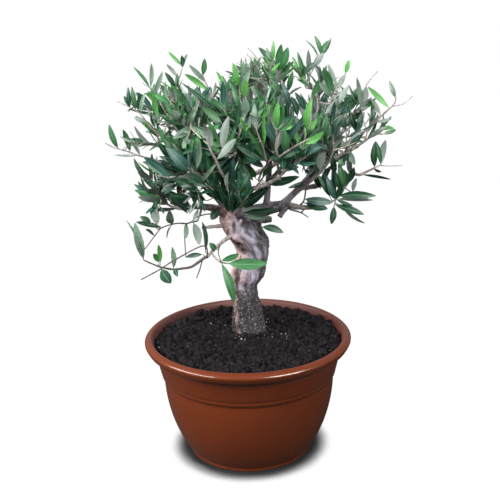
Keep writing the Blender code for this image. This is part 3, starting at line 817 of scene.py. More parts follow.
def limb_radii(limb, count):
    """The radius at each of a number of stations, flaring towards the root."""
    spread = limb.root_radius - limb.tip_radius
    return [limb.tip_radius + spread * (1 - i / (count - 1)) ** LIMB_FLARE for i in range(count)]


print("root of the right bough:", rounded([limb_curve(LIMB_NAMED["bough_right"])[0]]))

# %% [markdown]
# The trunk's rings are pushed in and out by twisting flutes and by named lumps and hollows, as in
# the solid model. It starts a little below the soil, so that the flare sits in the bed.

# %% Grow the trunk
TRUNK_RINGS = 80
TRUNK_SIDES = 56
TRUNK_SUNK = 0.005


def lump_rise(angle, height):
    rise = 0
    for degrees, lump_height, spread, tallest in TRUNK_LUMPS:
        turn = (angle - math.radians(degrees) + math.pi) % (2 * math.pi) - math.pi
        across = turn * TRUNK_MEAN_RADIUS
        rise += tallest * math.exp(-(across**2 + (height - lump_height) ** 2) / spread**2)
    return rise


def flute(angle, height):
    return 1 + sum(depth * math.cos(count * angle + twist * height) for count, depth, twist in FLUTES)


def grow_trunk():
    places = []
    for i in range(TRUNK_RINGS):
        height = TRUNK_BASE + (TRUNK_TOP - TRUNK_BASE) * i / (TRUNK_RINGS - 1)
        _, x, y, across, deep = smooth_row(TRUNK_STATIONS, height)
        places.append(Matrix.LocRotScale((x, y, height), None, (across, deep, 1)))
    places[0].translation.z -= TRUNK_SUNK
    solid, rings = grow(places, TRUNK_SIDES)
    for ring, place in zip(rings, places):
        centre = place.translation
        for vert in ring:
            out = vert.co - centre
            angle = math.atan2(out.y, out.x)
            lump = out.normalized() * lump_rise(angle, centre.z)
            vert.co = centre + out * flute(angle, centre.z) + lump
    return new_mesh("trunk_shape", solid)


trunk_mesh = grow_trunk()
print("trunk:", len(trunk_mesh.polygons), "faces")

# %% [markdown]
# Where boughs leave a real trunk the wood flows from one into the other. Trunk and boughs are
# joined in one bmesh and remeshed by a voxel grid, which melts the overlapping bodies into one
# skin, and a few passes of smoothing round the forks.

# %% Melt the trunk and boughs together
BOUGH_SIDES = 20
BOUGH_RINGS = 26
VOXEL = 0.0011
SMOOTHING_PASSES = 4


def grow_bough(limb):
    points = curve_points(limb_curve(limb), BOUGH_RINGS)
    places = stations(points, limb_radii(limb, BOUGH_RINGS))
    return new_mesh(limb.name + "_shape", grow(places, BOUGH_SIDES)[0])


def gathered(meshes):
    """One bmesh of all the meshes, which are then removed."""
    solid = bmesh.new()
    for mesh in meshes:
        solid.from_mesh(mesh)
        bpy.data.meshes.remove(mesh)
    return solid


def melted(solid, voxel):
    """The solid's overlapping bodies as one even skin."""
    rough = bpy.data.objects.new("rough_wood", new_mesh("rough_wood", solid))
    bpy.context.scene.collection.objects.link(rough)
    remesh = rough.modifiers.new("melt", "REMESH")
    remesh.mode = "VOXEL"
    remesh.voxel_size = voxel
    depsgraph = bpy.context.evaluated_depsgraph_get()
    mesh = bpy.data.meshes.new_from_object(rough.evaluated_get(depsgraph))
    bpy.data.objects.remove(rough, do_unlink=True)
    return gathered([mesh])


wood = melted(gathered([trunk_mesh] + [grow_bough(limb) for limb in THICK_LIMBS + [CUT_SPUR]]), VOXEL)
for _ in range(SMOOTHING_PASSES):
    bmesh.ops.smooth_vert(wood, verts=wood.verts, factor=0.5, use_axis_x=True, use_axis_y=True,
                          use_axis_z=True)
print("wood:", len(wood.verts), "points")

# %% [markdown]
# Bark relief runs along the wood. For each point the nearest station of the trunk and of every
# bough gives a place across, round and along that limb. Noise read there, drawn out along the
# limb, gives flowing ridges, and where two limbs meet their reliefs are blended by nearness.

# %% Read the relief along each limb
PATH_STEP = 0.0025
BLEND_REACH = 0.004
TWIST = 7.0


class Path:
    """Stations along the trunk or a bough, to find a point's place round and along it."""

    def __init__(self, points, radii):
        self.radii = radii
        self.inverses = [place.inverted() for place in stations(points, [1] * len(points))]
        self.lengths = [0]
        for a, b in zip(points, points[1:]):
            self.lengths.append(self.lengths[-1] + (b - a).length)
        self.tree = KDTree(len(points))
        for i, point in enumerate(points):
            self.tree.insert(point, i)
        self.tree.balance()

    def read(self, point):
        """Distance outside the limb, and place in it: two ways across and the way along."""
        _, index, _ = self.tree.find(point)
        local = self.inverses[index] @ point
        away = math.hypot(local.x, local.y)
        along = self.lengths[index] + local.z
        turn = TWIST * along
        x = local.x * math.cos(turn) - local.y * math.sin(turn)
        y = local.x * math.sin(turn) + local.y * math.cos(turn)
        return away - self.radii[index], Vector((x, y, along)), self.radii[index]


def trunk_path():
    count = round((TRUNK_TOP - TRUNK_BASE) / PATH_STEP)
    heights = [TRUNK_BASE + (TRUNK_TOP - TRUNK_BASE) * i / count for i in range(count + 1)]
    rows = [smooth_row(TRUNK_STATIONS, height) for height in heights]
    return Path([Vector((x, y, z)) for z, x, y, _, _ in rows], [(a + b) / 2 for _, _, _, a, b in rows])


def bough_path(limb):
    curve = limb_curve(limb)
    count = round((curve[2] - curve[0]).length / PATH_STEP)
    return Path(curve_points(curve, count), limb_radii(limb, count))


paths = [trunk_path()] + [bough_path(limb) for limb in THICK_LIMBS]
print("paths:", len(paths))

# %% [markdown]
# Young bark on the upper trunk is smooth with long ridges and fibres. Near the soil the old bark is
# cracked into small blocks. Both are read from noise that is drawn out along the limb, and thin
# limbs have less relief than the trunk.

# %% Shape the bark's ridges, cracks and blocks
RIDGES = (
    # fineness across, fineness along, height
    (105, 20, 0.0017),
    (230, 42, 0.0009),
    (560, 110, 0.00035),
)
CRACKS = (
    # fineness across, fineness along, depth, half width as a share of the noise
    (95, 24, 0.0016, 0.10),
    (210, 55, 0.0010, 0.12),
)
BLOCKS = (190, 105)
BLOCK_DEPTH = 0.0015
BLOCK_SUNK = 0.7
CRACK_WIDTH = 0.28
CRACK_SLICE = 7
OLD_BARK = (0.226, 0.248)
OLD_BARK_EDGE = 0.004
OLD_RIDGES = 0.5
FULL_RELIEF_RADIUS = 0.018
LEAST_RELIEF = 0.22


def smooth_step(low, high, value):
    t = min(max((value - low) / (high - low), 0), 1)
    return t * t * (3 - 2 * t)


def drawn_out(place, across, along, slice_at=0):
    """A place in noise that is finer across the limb than along it."""
    return Vector((place.x * across + slice_at, place.y * across, place.z * along))


def ridge_height(place):
    return sum(rise * noise.noise(drawn_out(place, across, along)) for across, along, rise in RIDGES)


def crack_height(place):
    """Narrow flowing cracks, where a stretched noise crosses its middle."""
    height = 0
    for across, along, depth, half in CRACKS:
        off = abs(noise.noise(drawn_out(place, across, along, CRACK_SLICE)))
        height -= depth * max(1 - off / half, 0)
    return height


def block_height(place):
    """Raised plates with cracks between them."""
    distances, _ = noise.voronoi(drawn_out(place, *BLOCKS))
    return BLOCK_DEPTH * (min((distances[1] - distances[0]) / CRACK_WIDTH, 1) - BLOCK_SUNK)


def bark_height(point, rough):
    """Height of the bark at a point, cracked as far as it is rough, and the bark's age there."""
    nearest = sorted((path.read(point) for path in paths), key=lambda read: read[0])[:2]
    age = 1 - smooth_step(*OLD_BARK, point.z + OLD_BARK_EDGE * noise.noise(point * 90))
    height = weight = 0
    for away, place, radius in nearest:
        share = math.exp(-max(away, 0) / BLEND_REACH)
        full = min(max(radius / FULL_RELIEF_RADIUS, LEAST_RELIEF), 1)
        rise = ridge_height(place) * (1 - OLD_RIDGES * age)
        if age > 0:
            rise += age * block_height(place)
        height += share * full * (rise + rough * crack_height(place))
        weight += share
    return height / weight, age


print("bark at the waist:", round(bark_height(trunk_axis(0.23), 1)[0] * 1000, 2), "mm")

# %% [markdown]
# Some marks give this trunk its face and are pressed in one by one: the slot and the two knot holes
# on the left, cut corners, and the burl's dark plates. A negative depth raises a knob.

# %% Name the marks
MARKS = (
    # place, half length along the trunk, half width, depth
    ((-0.0122, -0.003, 0.2590), 0.0080, 0.0026, 0.0050),
    ((-0.0087, -0.004, 0.3094), 0.0046, 0.0034, 0.0045),
    ((-0.0033, -0.004, 0.2989), 0.0040, 0.0030, 0.0050),
    ((0.0340, 0.004, 0.3214), 0.0030, 0.0040, 0.0025),
    ((-0.0150, -0.002, 0.3400), 0.0090, 0.0022, 0.0025),
    ((0.0080, -0.004, 0.2400), 0.0070, 0.0020, 0.0020),
    ((-0.0197, -0.004, 0.3611), 0.0060, 0.0055, -0.0040),
    ((-0.0235, -0.002, 0.3495), 0.0080, 0.0065, -0.0045),
    ((-0.0114, -0.006, 0.3585), 0.0030, 0.0030, 0.0030),
    ((-0.0048, -0.006, 0.3467), 0.0030, 0.0024, -0.0035),
    ((-0.0211, -0.004, 0.3597), 0.0040, 0.0032, 0.0030),
    ((0.0007, -0.004, 0.3424), 0.0050, 0.0050, 0.0022),
    ((-0.0075, -0.004, 0.3492), 0.0030, 0.0026, 0.0028),
)
MARK_DEEP = 4


def mark_depth(point):
    depth = 0
    for centre, long, wide, deepest in MARKS:
        off = point - Vector(centre)
        near = (off.z / long) ** 2 + (off.x / wide) ** 2 + (off.y / (MARK_DEEP * wide)) ** 2
        depth += deepest * math.exp(-near)
    return depth


print("marks:", len(MARKS))

# %% [markdown]
# Every point of the wood now moves along its normal by the bark's height there. It also keeps how
# deep it lies, for painted shade in its cracks and hollows, how old its bark is, and how brown or
# dark it is, for the material to use: brown on the left and round the marks, dark on the right
# (partly darker bark, partly painted shade on the side turned from the light), and a tan strip up
# the left of the old bark.

# %% Carve the bark
SMOOTH_SIDE_CRACKS = 0.50
PATCH_FINENESS = 45
# dark on the right: partly darker bark, partly painted shade on the side turned from the light
DARK_AND_SHADED_SIDE, DARK_PATCHES = (0.15, 0.85), 0.7
BROWN_SIDE, BROWN_PATCHES = (0.05, -0.75), 0.5
ABOVE_FORK, DARK_LOST = (0.366, 0.380), 0.8
ROUND_FORK, BROWN_LOST = (0.362, 0.376), 0.6
BROWN_MARK = 0.004
STRIP_SIDE, STRIP_WIDTH, STRIP_PATCHES = -0.78, 0.17, 0.25
LEVEL_DEPTH, FULL_HEIGHT, FULL_MARK = 0.55, 0.0026, 0.003


def trunk_side(point):
    """How far left (-1) or right (1) of the trunk's middle a point lies."""
    middle = trunk_axis(min(max(point.z, TRUNK_BASE), TRUNK_TOP - 0.0001))
    return (point.x - middle.x) / TRUNK_MEAN_RADIUS


def carve(solid):
    """Moves each point along its normal and keeps its tones."""
    layers = {name: solid.verts.layers.float.new(name) for name in ("depth", "age", "brown", "dark")}
    solid.normal_update()
    moves = []
    for vert in solid.verts:
        point = vert.co
        patch, side, mark = noise.noise(point * PATCH_FINENESS), trunk_side(point), mark_depth(point)
        # painted shade mixed with darker bark towards the trunk's right side
        dark = smooth_step(*DARK_AND_SHADED_SIDE, side + DARK_PATCHES * patch)
        dark *= 1 - DARK_LOST * smooth_step(*ABOVE_FORK, point.z)
        height, age = bark_height(point, SMOOTH_SIDE_CRACKS + dark)
        brown = smooth_step(*BROWN_SIDE, side + BROWN_PATCHES * patch) + abs(mark) / BROWN_MARK
        brown *= 1 - BROWN_LOST * smooth_step(*ROUND_FORK, point.z)
        strip = math.exp(-(((side - STRIP_SIDE + STRIP_PATCHES * patch) / STRIP_WIDTH) ** 2))
        # depth: painted shade, lower in the bark's cracks and in the hollows of the marks
        vert[layers["depth"]] = min(max(LEVEL_DEPTH + height / FULL_HEIGHT - mark / FULL_MARK, 0), 1)
        vert[layers["age"]] = age
        vert[layers["brown"]] = min(brown * (1 - age) + strip * age, 1)
        vert[layers["dark"]] = dark
        moves.append(vert.normal * (height - mark))
    for vert, move in zip(solid.verts, moves):
        vert.co += move


carve(wood)
print("carved", len(wood.verts), "points")

# %% [markdown]
# The bark's tones follow its relief: lilac grey where it is smooth, pinkish brown on the left and
# round the knots, dark on the right-hand ridges, and dark with pale flecks where it is old. The dark
# on the right is partly darker bark and partly painted shade, and the colour is darkened where the
# bark lies deep, which is painted shade in its cracks and hollows. The tones that each point keeps
# are read by Attribute nodes and broken up by noise.

# %% Finish the bark
YOUNG_TONES = ((0.260, 0.232, 0.288), (0.520, 0.474, 0.575))
BROWN_TONES = ((0.250, 0.156, 0.150), (0.700, 0.505, 0.490))
# the dark tones are partly darker bark and partly painted shade
DARK_BARK_AND_SHADE_TONES = ((0.035, 0.028, 0.036), (0.185, 0.160, 0.190))
OLD_TONES = ((0.018, 0.015, 0.018), (0.255, 0.220, 0.225))
TAN_TONES = ((0.075, 0.044, 0.038), (0.390, 0.270, 0.225))
# painted shade by depth: how much the colour is darkened where the bark lies deep
DEPTH_PAINTED_SHADE = (0.18, 0.58, 0.20, 1.0)


def kept_tone(tree, name):
    return add(tree, "Attribute", attribute_name=name).outputs["Fac"]


def make_bark():
    material, tree, shader = new_material("olive_bark", 0.8)
    brown, age = kept_tone(tree, "brown"), kept_tone(tree, "age")
    base = mix(tree, mottle(tree, 130, 2.8), *YOUNG_TONES)
    base = mix(tree, brown, base, mix(tree, mottle(tree, 190, 3.6), *BROWN_TONES))
    # darker bark and painted shade on the right side
    dark = mix(tree, mottle(tree, 260, 4.0, 0.52), *DARK_BARK_AND_SHADE_TONES)
    base = mix(tree, kept_tone(tree, "dark"), base, dark)
    old = mix(tree, mottle(tree, 330, 6.0, 0.60), *OLD_TONES)
    tan = mix(tree, mottle(tree, 330, 6.0, 0.50), *TAN_TONES)
    base = mix(tree, age, base, mix(tree, brown, old, tan))
    # painted shade: the colour is darkened where the bark lies deep
    shade = ramp(tree, kept_tone(tree, "depth"), *DEPTH_PAINTED_SHADE)
    grey = add(tree, "CombineColor", {0: shade, 1: shade, 2: shade}).outputs[0]
    feed(tree, shader, {"Base Color": mix(tree, 1.0, base, grey, "MULTIPLY"),
                        "Normal": grain_bump(tree, 700, 0.0010, 0.9, 0.35)})
    return material


wood_mesh = new_mesh("trunk_and_boughs", wood)
wood_mesh.shade_smooth()
new_piece("trunk_and_boughs", wood_mesh, [make_bark()],
          ["trunk"] + [limb.name for limb in THICK_LIMBS])

# %% [markdown]
# ## Limbs
# The lesser limbs are too thin for the voxel grid, so each is grown by itself with its root sunk in
# what carries it. Small swellings mark where old leaves and shoots fell off.

# %% Grow the limbs
LIMB_SIDES = 10
LIMB_STEP = 0.0022
KNOT_SPACING = 0.011
KNOT_WIDTH = 0.0018
KNOT_RISE = 0.22
LIMB_ROUGH = 0.10
ROUGH_FINENESS = 420
LEAST_RINGS = 8


def knobbly(points, radii, sides, knot_spacing):
    """A twig or limb with a swelling at each knot and an uneven skin."""
    solid, rings = grow(stations(points, radii), sides)
    walked = 0
    for i, ring in enumerate(rings):
        if i:
            walked += (points[i] - points[i - 1]).length
        near = (walked + knot_spacing / 2) % knot_spacing - knot_spacing / 2
        swell = 1 + KNOT_RISE * math.exp(-((near / KNOT_WIDTH) ** 2))
        for vert in ring:
            rough = 1 + LIMB_ROUGH * noise.noise(vert.co * ROUGH_FINENESS)
            vert.co = points[i] + (vert.co - points[i]) * swell * rough
    return solid


def grow_thin_limb(limb):
    curve = limb_curve(limb)
    count = max(round((curve[2] - curve[0]).length / LIMB_STEP), LEAST_RINGS)
    limb_points, radii = curve_points(curve, count), limb_radii(limb, count)
    return new_mesh(limb.name + "_shape", knobbly(limb_points, radii, LIMB_SIDES, KNOT_SPACING))


def make_twig_bark(name, low, high, spots):
    material, tree, shader = new_material(name, 0.75)
    base = mix(tree, mottle(tree, 150, 2.5), low, high)
    feed(tree, shader, {"Base Color": mix(tree, mottle(tree, 500, 6.0, 0.6), base, spots),
                        "Normal": grain_bump(tree, 1100, 0.0005, 0.8, 0.5)})
    return material


limb_bark = make_twig_bark("limb_bark", (0.220, 0.185, 0.170), (0.460, 0.405, 0.375),
                           (0.10, 0.08, 0.075))
limb_solid = gathered([grow_thin_limb(limb) for limb in THIN_LIMBS])
new_piece("limbs", new_mesh("limbs", limb_solid), [limb_bark],
          [limb.name for limb in THIN_LIMBS], FINE_CREASE_ANGLE)

# %% [markdown]
# ## Masses of foliage
# Each mass grows from one stem at a limb's tip, and keeps to a round room of its own. The masses
# inside the crown fill their rooms. Those at the rim have small ones, because single sprays reach
# out of them, and the ones without side shoots have nothing but such sprays.

# %% Name the masses
Mass = namedtuple("Mass", "node limb room radius stem_tip shoots reach")
MASSES = [Mass(*row) for row in (
    # node, limb, centre and radius of its room, the stem's tip, side shoots, reach
    ("leaves_left_outer", "limb_left_outer", (-0.124, -0.028, 0.464), 0.034,
     (-0.142, -0.029, 0.465), 2, 0.85),
    ("leaves_left_crest", "limb_left_crest", (-0.126, 0.006, 0.506), 0.031,
     (-0.137, 0.004, 0.510), 2, 0.85),
    ("leaves_left_top", "bough_left_up", (-0.088, 0, 0.514), 0.033, (-0.090, 0, 0.530), 2, 0.85),
    ("leaves_mid_left", "limb_mid_left", (-0.062, -0.044, 0.486), 0.048,
     (-0.066, -0.058, 0.510), 5, 0.86),
    ("leaves_left_low", "bough_left", (-0.106, -0.010, 0.394), 0.040,
     (-0.122, -0.010, 0.388), 4, 0.85),
    ("leaves_top_left", "bough_middle", (-0.024, -0.012, 0.516), 0.034,
     (-0.016, -0.008, 0.532), 2, 0.85),
    ("leaves_top_middle", "bough_up", (0.042, -0.006, 0.534), 0.040,
     (0.044, -0.004, 0.555), 4, 0.85),
    ("leaves_top_right", "limb_top_right", (0.102, 0, 0.520), 0.035, (0.108, 0, 0.536), 2, 0.85),
    ("leaves_right_top", "bough_right_up", (0.150, 0.004, 0.494), 0.031,
     (0.160, 0.003, 0.506), 2, 0.85),
    ("leaves_right_outer", "limb_right_outer", (0.182, 0.006, 0.464), 0.026,
     (0.192, 0.005, 0.470), 2, 0.80),
    ("leaves_right_far", "limb_right_far", (0.184, -0.012, 0.420), 0.048,
     (0.212, -0.008, 0.420), 0, 0),
    ("leaves_right_low", "limb_right_low", (0.142, -0.020, 0.380), 0.052,
     (0.172, -0.016, 0.364), 0, 0),
    ("leaves_right_mid", "limb_right_mid", (0.112, -0.044, 0.456), 0.046,
     (0.118, -0.062, 0.474), 4, 0.86),
    ("leaves_front_right", "limb_front_right", (0.058, -0.070, 0.446), 0.048,
     (0.066, -0.090, 0.456), 5, 0.86),
    ("leaves_front_middle", "bough_front", (0.002, -0.072, 0.460), 0.050,
     (0, -0.092, 0.474), 5, 0.86),
    ("leaves_front_left", "limb_front_left", (-0.064, -0.064, 0.430), 0.046,
     (-0.076, -0.082, 0.440), 4, 0.86),
    ("leaves_front_low", "limb_front_low", (-0.014, -0.072, 0.392), 0.042,
     (-0.014, -0.088, 0.402), 4, 0.80),
    ("leaves_inner_right", "limb_inner_right", (0.052, -0.046, 0.446), 0.052,
     (0.046, -0.064, 0.480), 7, 0.90),
    ("leaves_inner_middle", "limb_inner_middle", (0.010, -0.050, 0.470), 0.052,
     (0.012, -0.064, 0.500), 6, 0.90),
    ("leaves_inner_left", "limb_inner_left", (-0.056, -0.044, 0.422), 0.050,
     (-0.068, -0.056, 0.446), 6, 0.90),
    ("leaves_back_left", "limb_back_left", (-0.078, 0.092, 0.460), 0.066,
     (-0.106, 0.126, 0.486), 6, 0.84),
    ("leaves_back_middle", "bough_back", (0.014, 0.128, 0.470), 0.068,
     (0.012, 0.172, 0.494), 7, 0.84),
    ("leaves_back_right", "limb_back_right", (0.104, 0.096, 0.456), 0.064,
     (0.130, 0.130, 0.482), 6, 0.84),
    ("leaves_top_back", "limb_top_back", (0.022, 0.064, 0.514), 0.050,
     (0.022, 0.078, 0.546), 5, 0.80),
    ("sprig_low", "twig_low", (-0.104, -0.048, 0.318), 0.056, (-0.138, -0.050, 0.310), 0, 0),
    ("sprig_front", "twig_front", (-0.008, -0.056, 0.290), 0.050, (-0.026, -0.052, 0.297), 0, 0),
    ("sprig_hanging", "twig_hanging", (-0.068, -0.010, 0.328), 0.034,
     (-0.067, -0.010, 0.335), 0, 0),
)]
MASS_NODES = [mass.node for mass in MASSES]
print("masses:", len(MASSES))

# %% [markdown]
# ## Twigs
# A mass keeps inside its rooms, and a twig grows only where nothing but air lies on its way, which
# rays against the finished wood tell quickly. The space before the fork stays open, so that the
# trunk can be seen from the front.

# %% Find room for shoots and leaves
UP = Vector((0, 0, 1))
ROOM_SPARE = 0.007
CLEAR_ZONES = (
    # from x, to x, height kept open at the middle of the tree
    (-0.040, 0.014, 0.376),
    (0.014, 0.080, 0.404),
)
CLEAR_BACK, SIGHT_SLOPE = 0.02, 0.26
GOLDEN_ANGLE = math.pi * (3 - math.sqrt(5))

wood_tree = BVHTree.FromPolygons([vert.co.copy() for vert in wood_mesh.vertices],
                                 [tuple(face.vertices) for face in wood_mesh.polygons])


def any_direction(seed):
    return Vector((seed.gauss(0, 1), seed.gauss(0, 1), seed.gauss(0, 1))).normalized()


def sphere_direction(index, count, turn):
    """Directions spread evenly over a ball."""
    height = 1 - 2 * (index + 0.5) / count
    flat = math.sqrt(1 - height**2)
    angle = GOLDEN_ANGLE * index + turn
    return Vector((flat * math.cos(angle), flat * math.sin(angle), height))


def along(points, t):
    """The place and heading at a share t of a twig's length."""
    step = t * (len(points) - 1)
    index = min(int(step), len(points) - 2)
    start, end = points[index], points[index + 1]
    return start.lerp(end, step - index), (end - start).normalized()


def way_length(points):
    return sum((b - a).length for a, b in zip(points, points[1:]))


def clear(start, end):
    """Whether a straight way through the air misses the trunk and boughs."""
    way = end - start
    return wood_tree.ray_cast(start + way * 0.1, way.normalized(), way.length * 0.9)[0] is None


def in_crown(point):
    """Whether a place is in a room and leaves the fork of the trunk open to the front."""
    for low, high, height in CLEAR_ZONES:
        open_height = height - SIGHT_SLOPE * point.y
        if low < point.x < high and point.y < CLEAR_BACK and point.z < open_height:
            return False
    return any((point - Vector(mass.room)).length < mass.radius + ROOM_SPARE
               for mass in MASSES if mass.shoots)


print("is the crown's middle free:", in_crown(Vector((0, -0.05, 0.47))))

# %% [markdown]
# Each stem runs on from its limb. Side shoots leave it for points spread evenly over a ball, and all
# of them strive outward from the fork, the high ones also up to the light. Most shoots carry a finer
# twig or two.

# %% Lay out the shoots
STEM_BEND = 0.45
STEM_RINGS = 12
STEM_SUNK = 0.001
FIRST_SHOOT, LAST_SHOOT = 0.12, 0.92
SHOOT_RINGS = 8
SHOOT_BOW = 0.07
SHOOT_LENGTHS = (0.75, 1.05)
CROWN_FOOT = Vector((0, 0.01, 0.36))
SHOOT_AWAY, SHOOT_LIFT = 0.45, (0.05, 0.50)
LIFT_HEIGHTS = (0.43, 0.53)
TWIG_CHANCE = 0.75
TWIG_PLACES, TWIG_PLAY = (0.30, 0.56), 0.08
TWIG_LENGTH = (0.030, 0.050)
TWIG_TURN = (2, 4)
TWIG_SPREAD = 0.70
TWIG_LIFT = 0.45
TWIG_BOW = 0.0015


def side_shoots(stem, mass, seed):
    """Shoots from along the stem to points spread over the ball, striving outward and upward."""
    centre = Vector(mass.room)
    away = (centre - CROWN_FOOT).normalized()
    lift = SHOOT_LIFT[0] + (SHOOT_LIFT[1] - SHOOT_LIFT[0]) * smooth_step(*LIFT_HEIGHTS, centre.z)
    turn = seed.uniform(0, 2 * math.pi)
    shoots = []
    for index in range(mass.shoots):
        place = FIRST_SHOOT + (LAST_SHOOT - FIRST_SHOOT) * (index + 0.5) / mass.shoots
        start, _ = along(stem, place)
        outward = sphere_direction(index, mass.shoots, turn) + away * SHOOT_AWAY + UP * lift
        tip = centre + outward.normalized() * mass.radius * mass.reach * seed.uniform(*SHOOT_LENGTHS)
        if clear(start, tip) and in_crown(tip):
            bow = UP * SHOOT_BOW * (tip - start).length
            shoots.append(curve_points([start, start.lerp(tip, 0.5) - bow, tip], SHOOT_RINGS))
    return shoots


def fine_twigs(shoot, seed):
    """Finer twigs that leave a shoot aside and upward."""
    twigs = []
    turn = seed.uniform(0, 2 * math.pi)
    for share in TWIG_PLACES:
        start, heading = along(shoot, share + seed.uniform(-TWIG_PLAY, TWIG_PLAY))
        turn += seed.uniform(*TWIG_TURN)
        aside = Matrix.Rotation(turn, 3, heading) @ heading.orthogonal().normalized()
        out = (heading + aside * TWIG_SPREAD + UP * TWIG_LIFT).normalized()
        tip = start + out * seed.uniform(*TWIG_LENGTH)
        if seed.random() < TWIG_CHANCE and clear(start, tip) and in_crown(tip):
            bow = start.lerp(tip, 0.5) - UP * TWIG_BOW
            twigs.append(curve_points([start, bow, tip], SHOOT_RINGS - 2))
    return twigs


def lay_out(mass, index):
    """The stem, shoots and twigs of one mass, each a list of points with its level."""
    if not mass.shoots:
        return []
    seed = random.Random(index + 1)
    limb_line = limb_curve(LIMB_NAMED[mass.limb])
    heading = (limb_line[2] - limb_line[1]).normalized()
    root, tip = limb_line[2] - heading * STEM_SUNK, Vector(mass.stem_tip)
    stem = curve_points([root, root + heading * (tip - root).length * STEM_BEND, tip], STEM_RINGS)
    shoots = side_shoots(stem, mass, seed)
    twigs = [twig for shoot in shoots for twig in fine_twigs(shoot, seed)]
    return [(0, stem)] + [(1, shoot) for shoot in shoots] + [(2, twig) for twig in twigs]


layouts = [lay_out(mass, index) for index, mass in enumerate(MASSES)]
print("shoots and twigs:", sum(len(layout) for layout in layouts))

# %% [markdown]
# Some sprays give the tree its face and outline, and these are named one by one. Their places are
# picked from the photograph: x and y are pixels of the picture or of an enlarged part of it,
# and depth is a judged distance behind the pot's middle in millimetres, negative to the front. The
# camera's numbers turn these into a place.

# %% Read places from the picture
MILLIMETRE = 0.001
View = namedtuple("View", "left top zoom digits")


def seen(view, x, y, depth):
    """The place in millimetres that shows at x and y of a view, at a depth."""
    across = view.left + x / view.zoom - FRAME_PIXELS / 2
    drop = view.top + y / view.zoom - FRAME_PIXELS / 2
    side = (math.cos(ROLL) * across - math.sin(ROLL) * drop) / FOCAL_PIXELS
    fall = (math.sin(ROLL) * across + math.cos(ROLL) * drop) / FOCAL_PIXELS
    forth = math.cos(PITCH) - fall * math.sin(PITCH)
    reach = depth * MILLIMETRE + CAMERA_DISTANCE
    reach /= math.cos(PAN) * forth - math.sin(PAN) * side
    place_x = reach * (math.cos(PAN) * side + math.sin(PAN) * forth)
    place_z = CAMERA_HEIGHT - reach * (math.sin(PITCH) + fall * math.cos(PITCH))
    return round(place_x / MILLIMETRE, view.digits), depth, round(place_z / MILLIMETRE, view.digits)


def read_twigs(view, rows):
    return [(*row[:3], *(seen(view, *point) for point in row[3:])) for row in rows]


def read_leaves(view, rows):
    return [(*seen(view, *row[:3]), *seen(view, *row[3:6]), *row[6:]) for row in rows]


print("middle of the picture:", seen(View(0, 0, 1, 1), FRAME_PIXELS / 2, FRAME_PIXELS / 2, 0))

# %% [markdown]
# Each twig is a few such points, led later to the nearest wood, so that it always grows from
# something. Each leaf has a root, a tip, a width in millimetres and a tint, and shows its upper side
# to the front unless the row says otherwise. An olive leaf is silvery below, so the turned ones give
# the crown its grey shimmer. The first sprays are thin and dark and lie low beside the trunk.

# %% Name the low sprays
LOW_VIEW = View(125, 190, 12.544, 1)
LOW_TWIGS = (
    # bark, radius at the root, radius at the tip, then the points: x, y, depth
    ("dark", 2.3, 1, (1037, 832, -40), (975, 865, -40), (840, 960, -43), (720, 985, -46),
     (600, 995, -48), (460, 970, -50), (350, 930, -50), (235, 880, -50)),
    ("dark", 1.1, 0.8, (980, 700, -46), (620, 880, -52), (430, 1000, -50), (200, 1125, -46)),
    ("dark", 1, 0.7, (970, 880, -40), (930, 1020, -40), (895, 1105, -40)),
    ("dark", 1, 0.7, (1190, 690, -25), (1170, 780, -34), (1200, 890, -42)),
    ("dark", 1.1, 0.8, (1192, 901, -48), (1238, 915, -49), (1280, 920, -50)),
    ("dark", 1, 0.7, (760, 440, -12), (750, 620, -22), (765, 850, -34)),
    ("dark", 1, 0.8, (1200, 320, 0), (1050, 300, -4), (900, 340, -6), (850, 390, -8)),
    ("dark", 1.1, 0.7, (850, 390, -8), (780, 420, -10), (640, 420, -14), (470, 470, -18),
     (400, 540, -22), (250, 740, -30)),
)
LOW_LEAVES = (
    # root, tip, width, tint, and the side that looks to the front if not the upper
    (225, 870, -50, 119, 416, -58, 12.5, "grey"),
    (229, 874, -50, 53, 377, -56, 6, "grey", "edge"),
    (445, 925, -50, 415, 680, -54, 6.8, "fresh"),
    (430, 910, -50, 350, 800, -54, 8.2, "mid"),
    (610, 985, -48, 600, 710, -50, 8.2, "grey"),
    (470, 990, -50, 575, 1170, -58, 15, "deep"),
    (620, 1000, -48, 647, 1072, -74, 8.2, "deep"),
    (980, 810, -40, 760, 840, -50, 6.8, "deep"),
    (775, 430, -12, 767, 606, -22, 6.8, "grey"),
    (850, 400, -10, 935, 690, -16, 12.2, "mid", "under"),
    (1010, 780, -36, 975, 400, -34, 8.64, "deep", "edge"),
    (1150, 740, -34, 1065, 670, -44, 9.5, "mid"),
    (1210, 885, -44, 1440, 800, -60, 8.8, "mid"),
    (1280, 920, -50, 1782, 922, -60, 16, "mid"),
    (1204, 918, -48, 1373, 1423, -62, 12, "mid"),
    (400, 440, -22, 390, 250, -34, 13.6, "mid", "under"),
    (401, 433, -20, 384, 142.5, -24, 12.2, "deep"),
    (330, 420, -22, 190, 335, -30, 8.2, "mid"),
    (470, 470, -18, 130, 410, -34, 8.2, "deep"),
    (590, 430, -16, 560, 270, -30, 10.9, "grey"),
    (370, 580, -26, 260, 490, -30, 6.56, "deep", "edge"),
    (590, 440, -16, 510, 600, -24, 6.56, "deep", "edge"),
    (1192, 256, -12, 1076, 370, -16, 12.2, "deep"),
)
print("low sprays:", len(LOW_TWIGS), "twigs,", len(LOW_LEAVES), "leaves")

# %% [markdown]
# At the fork a fan of deep green leaves stands in front of the boughs, with a few paler ones and
# dead twigs among them.

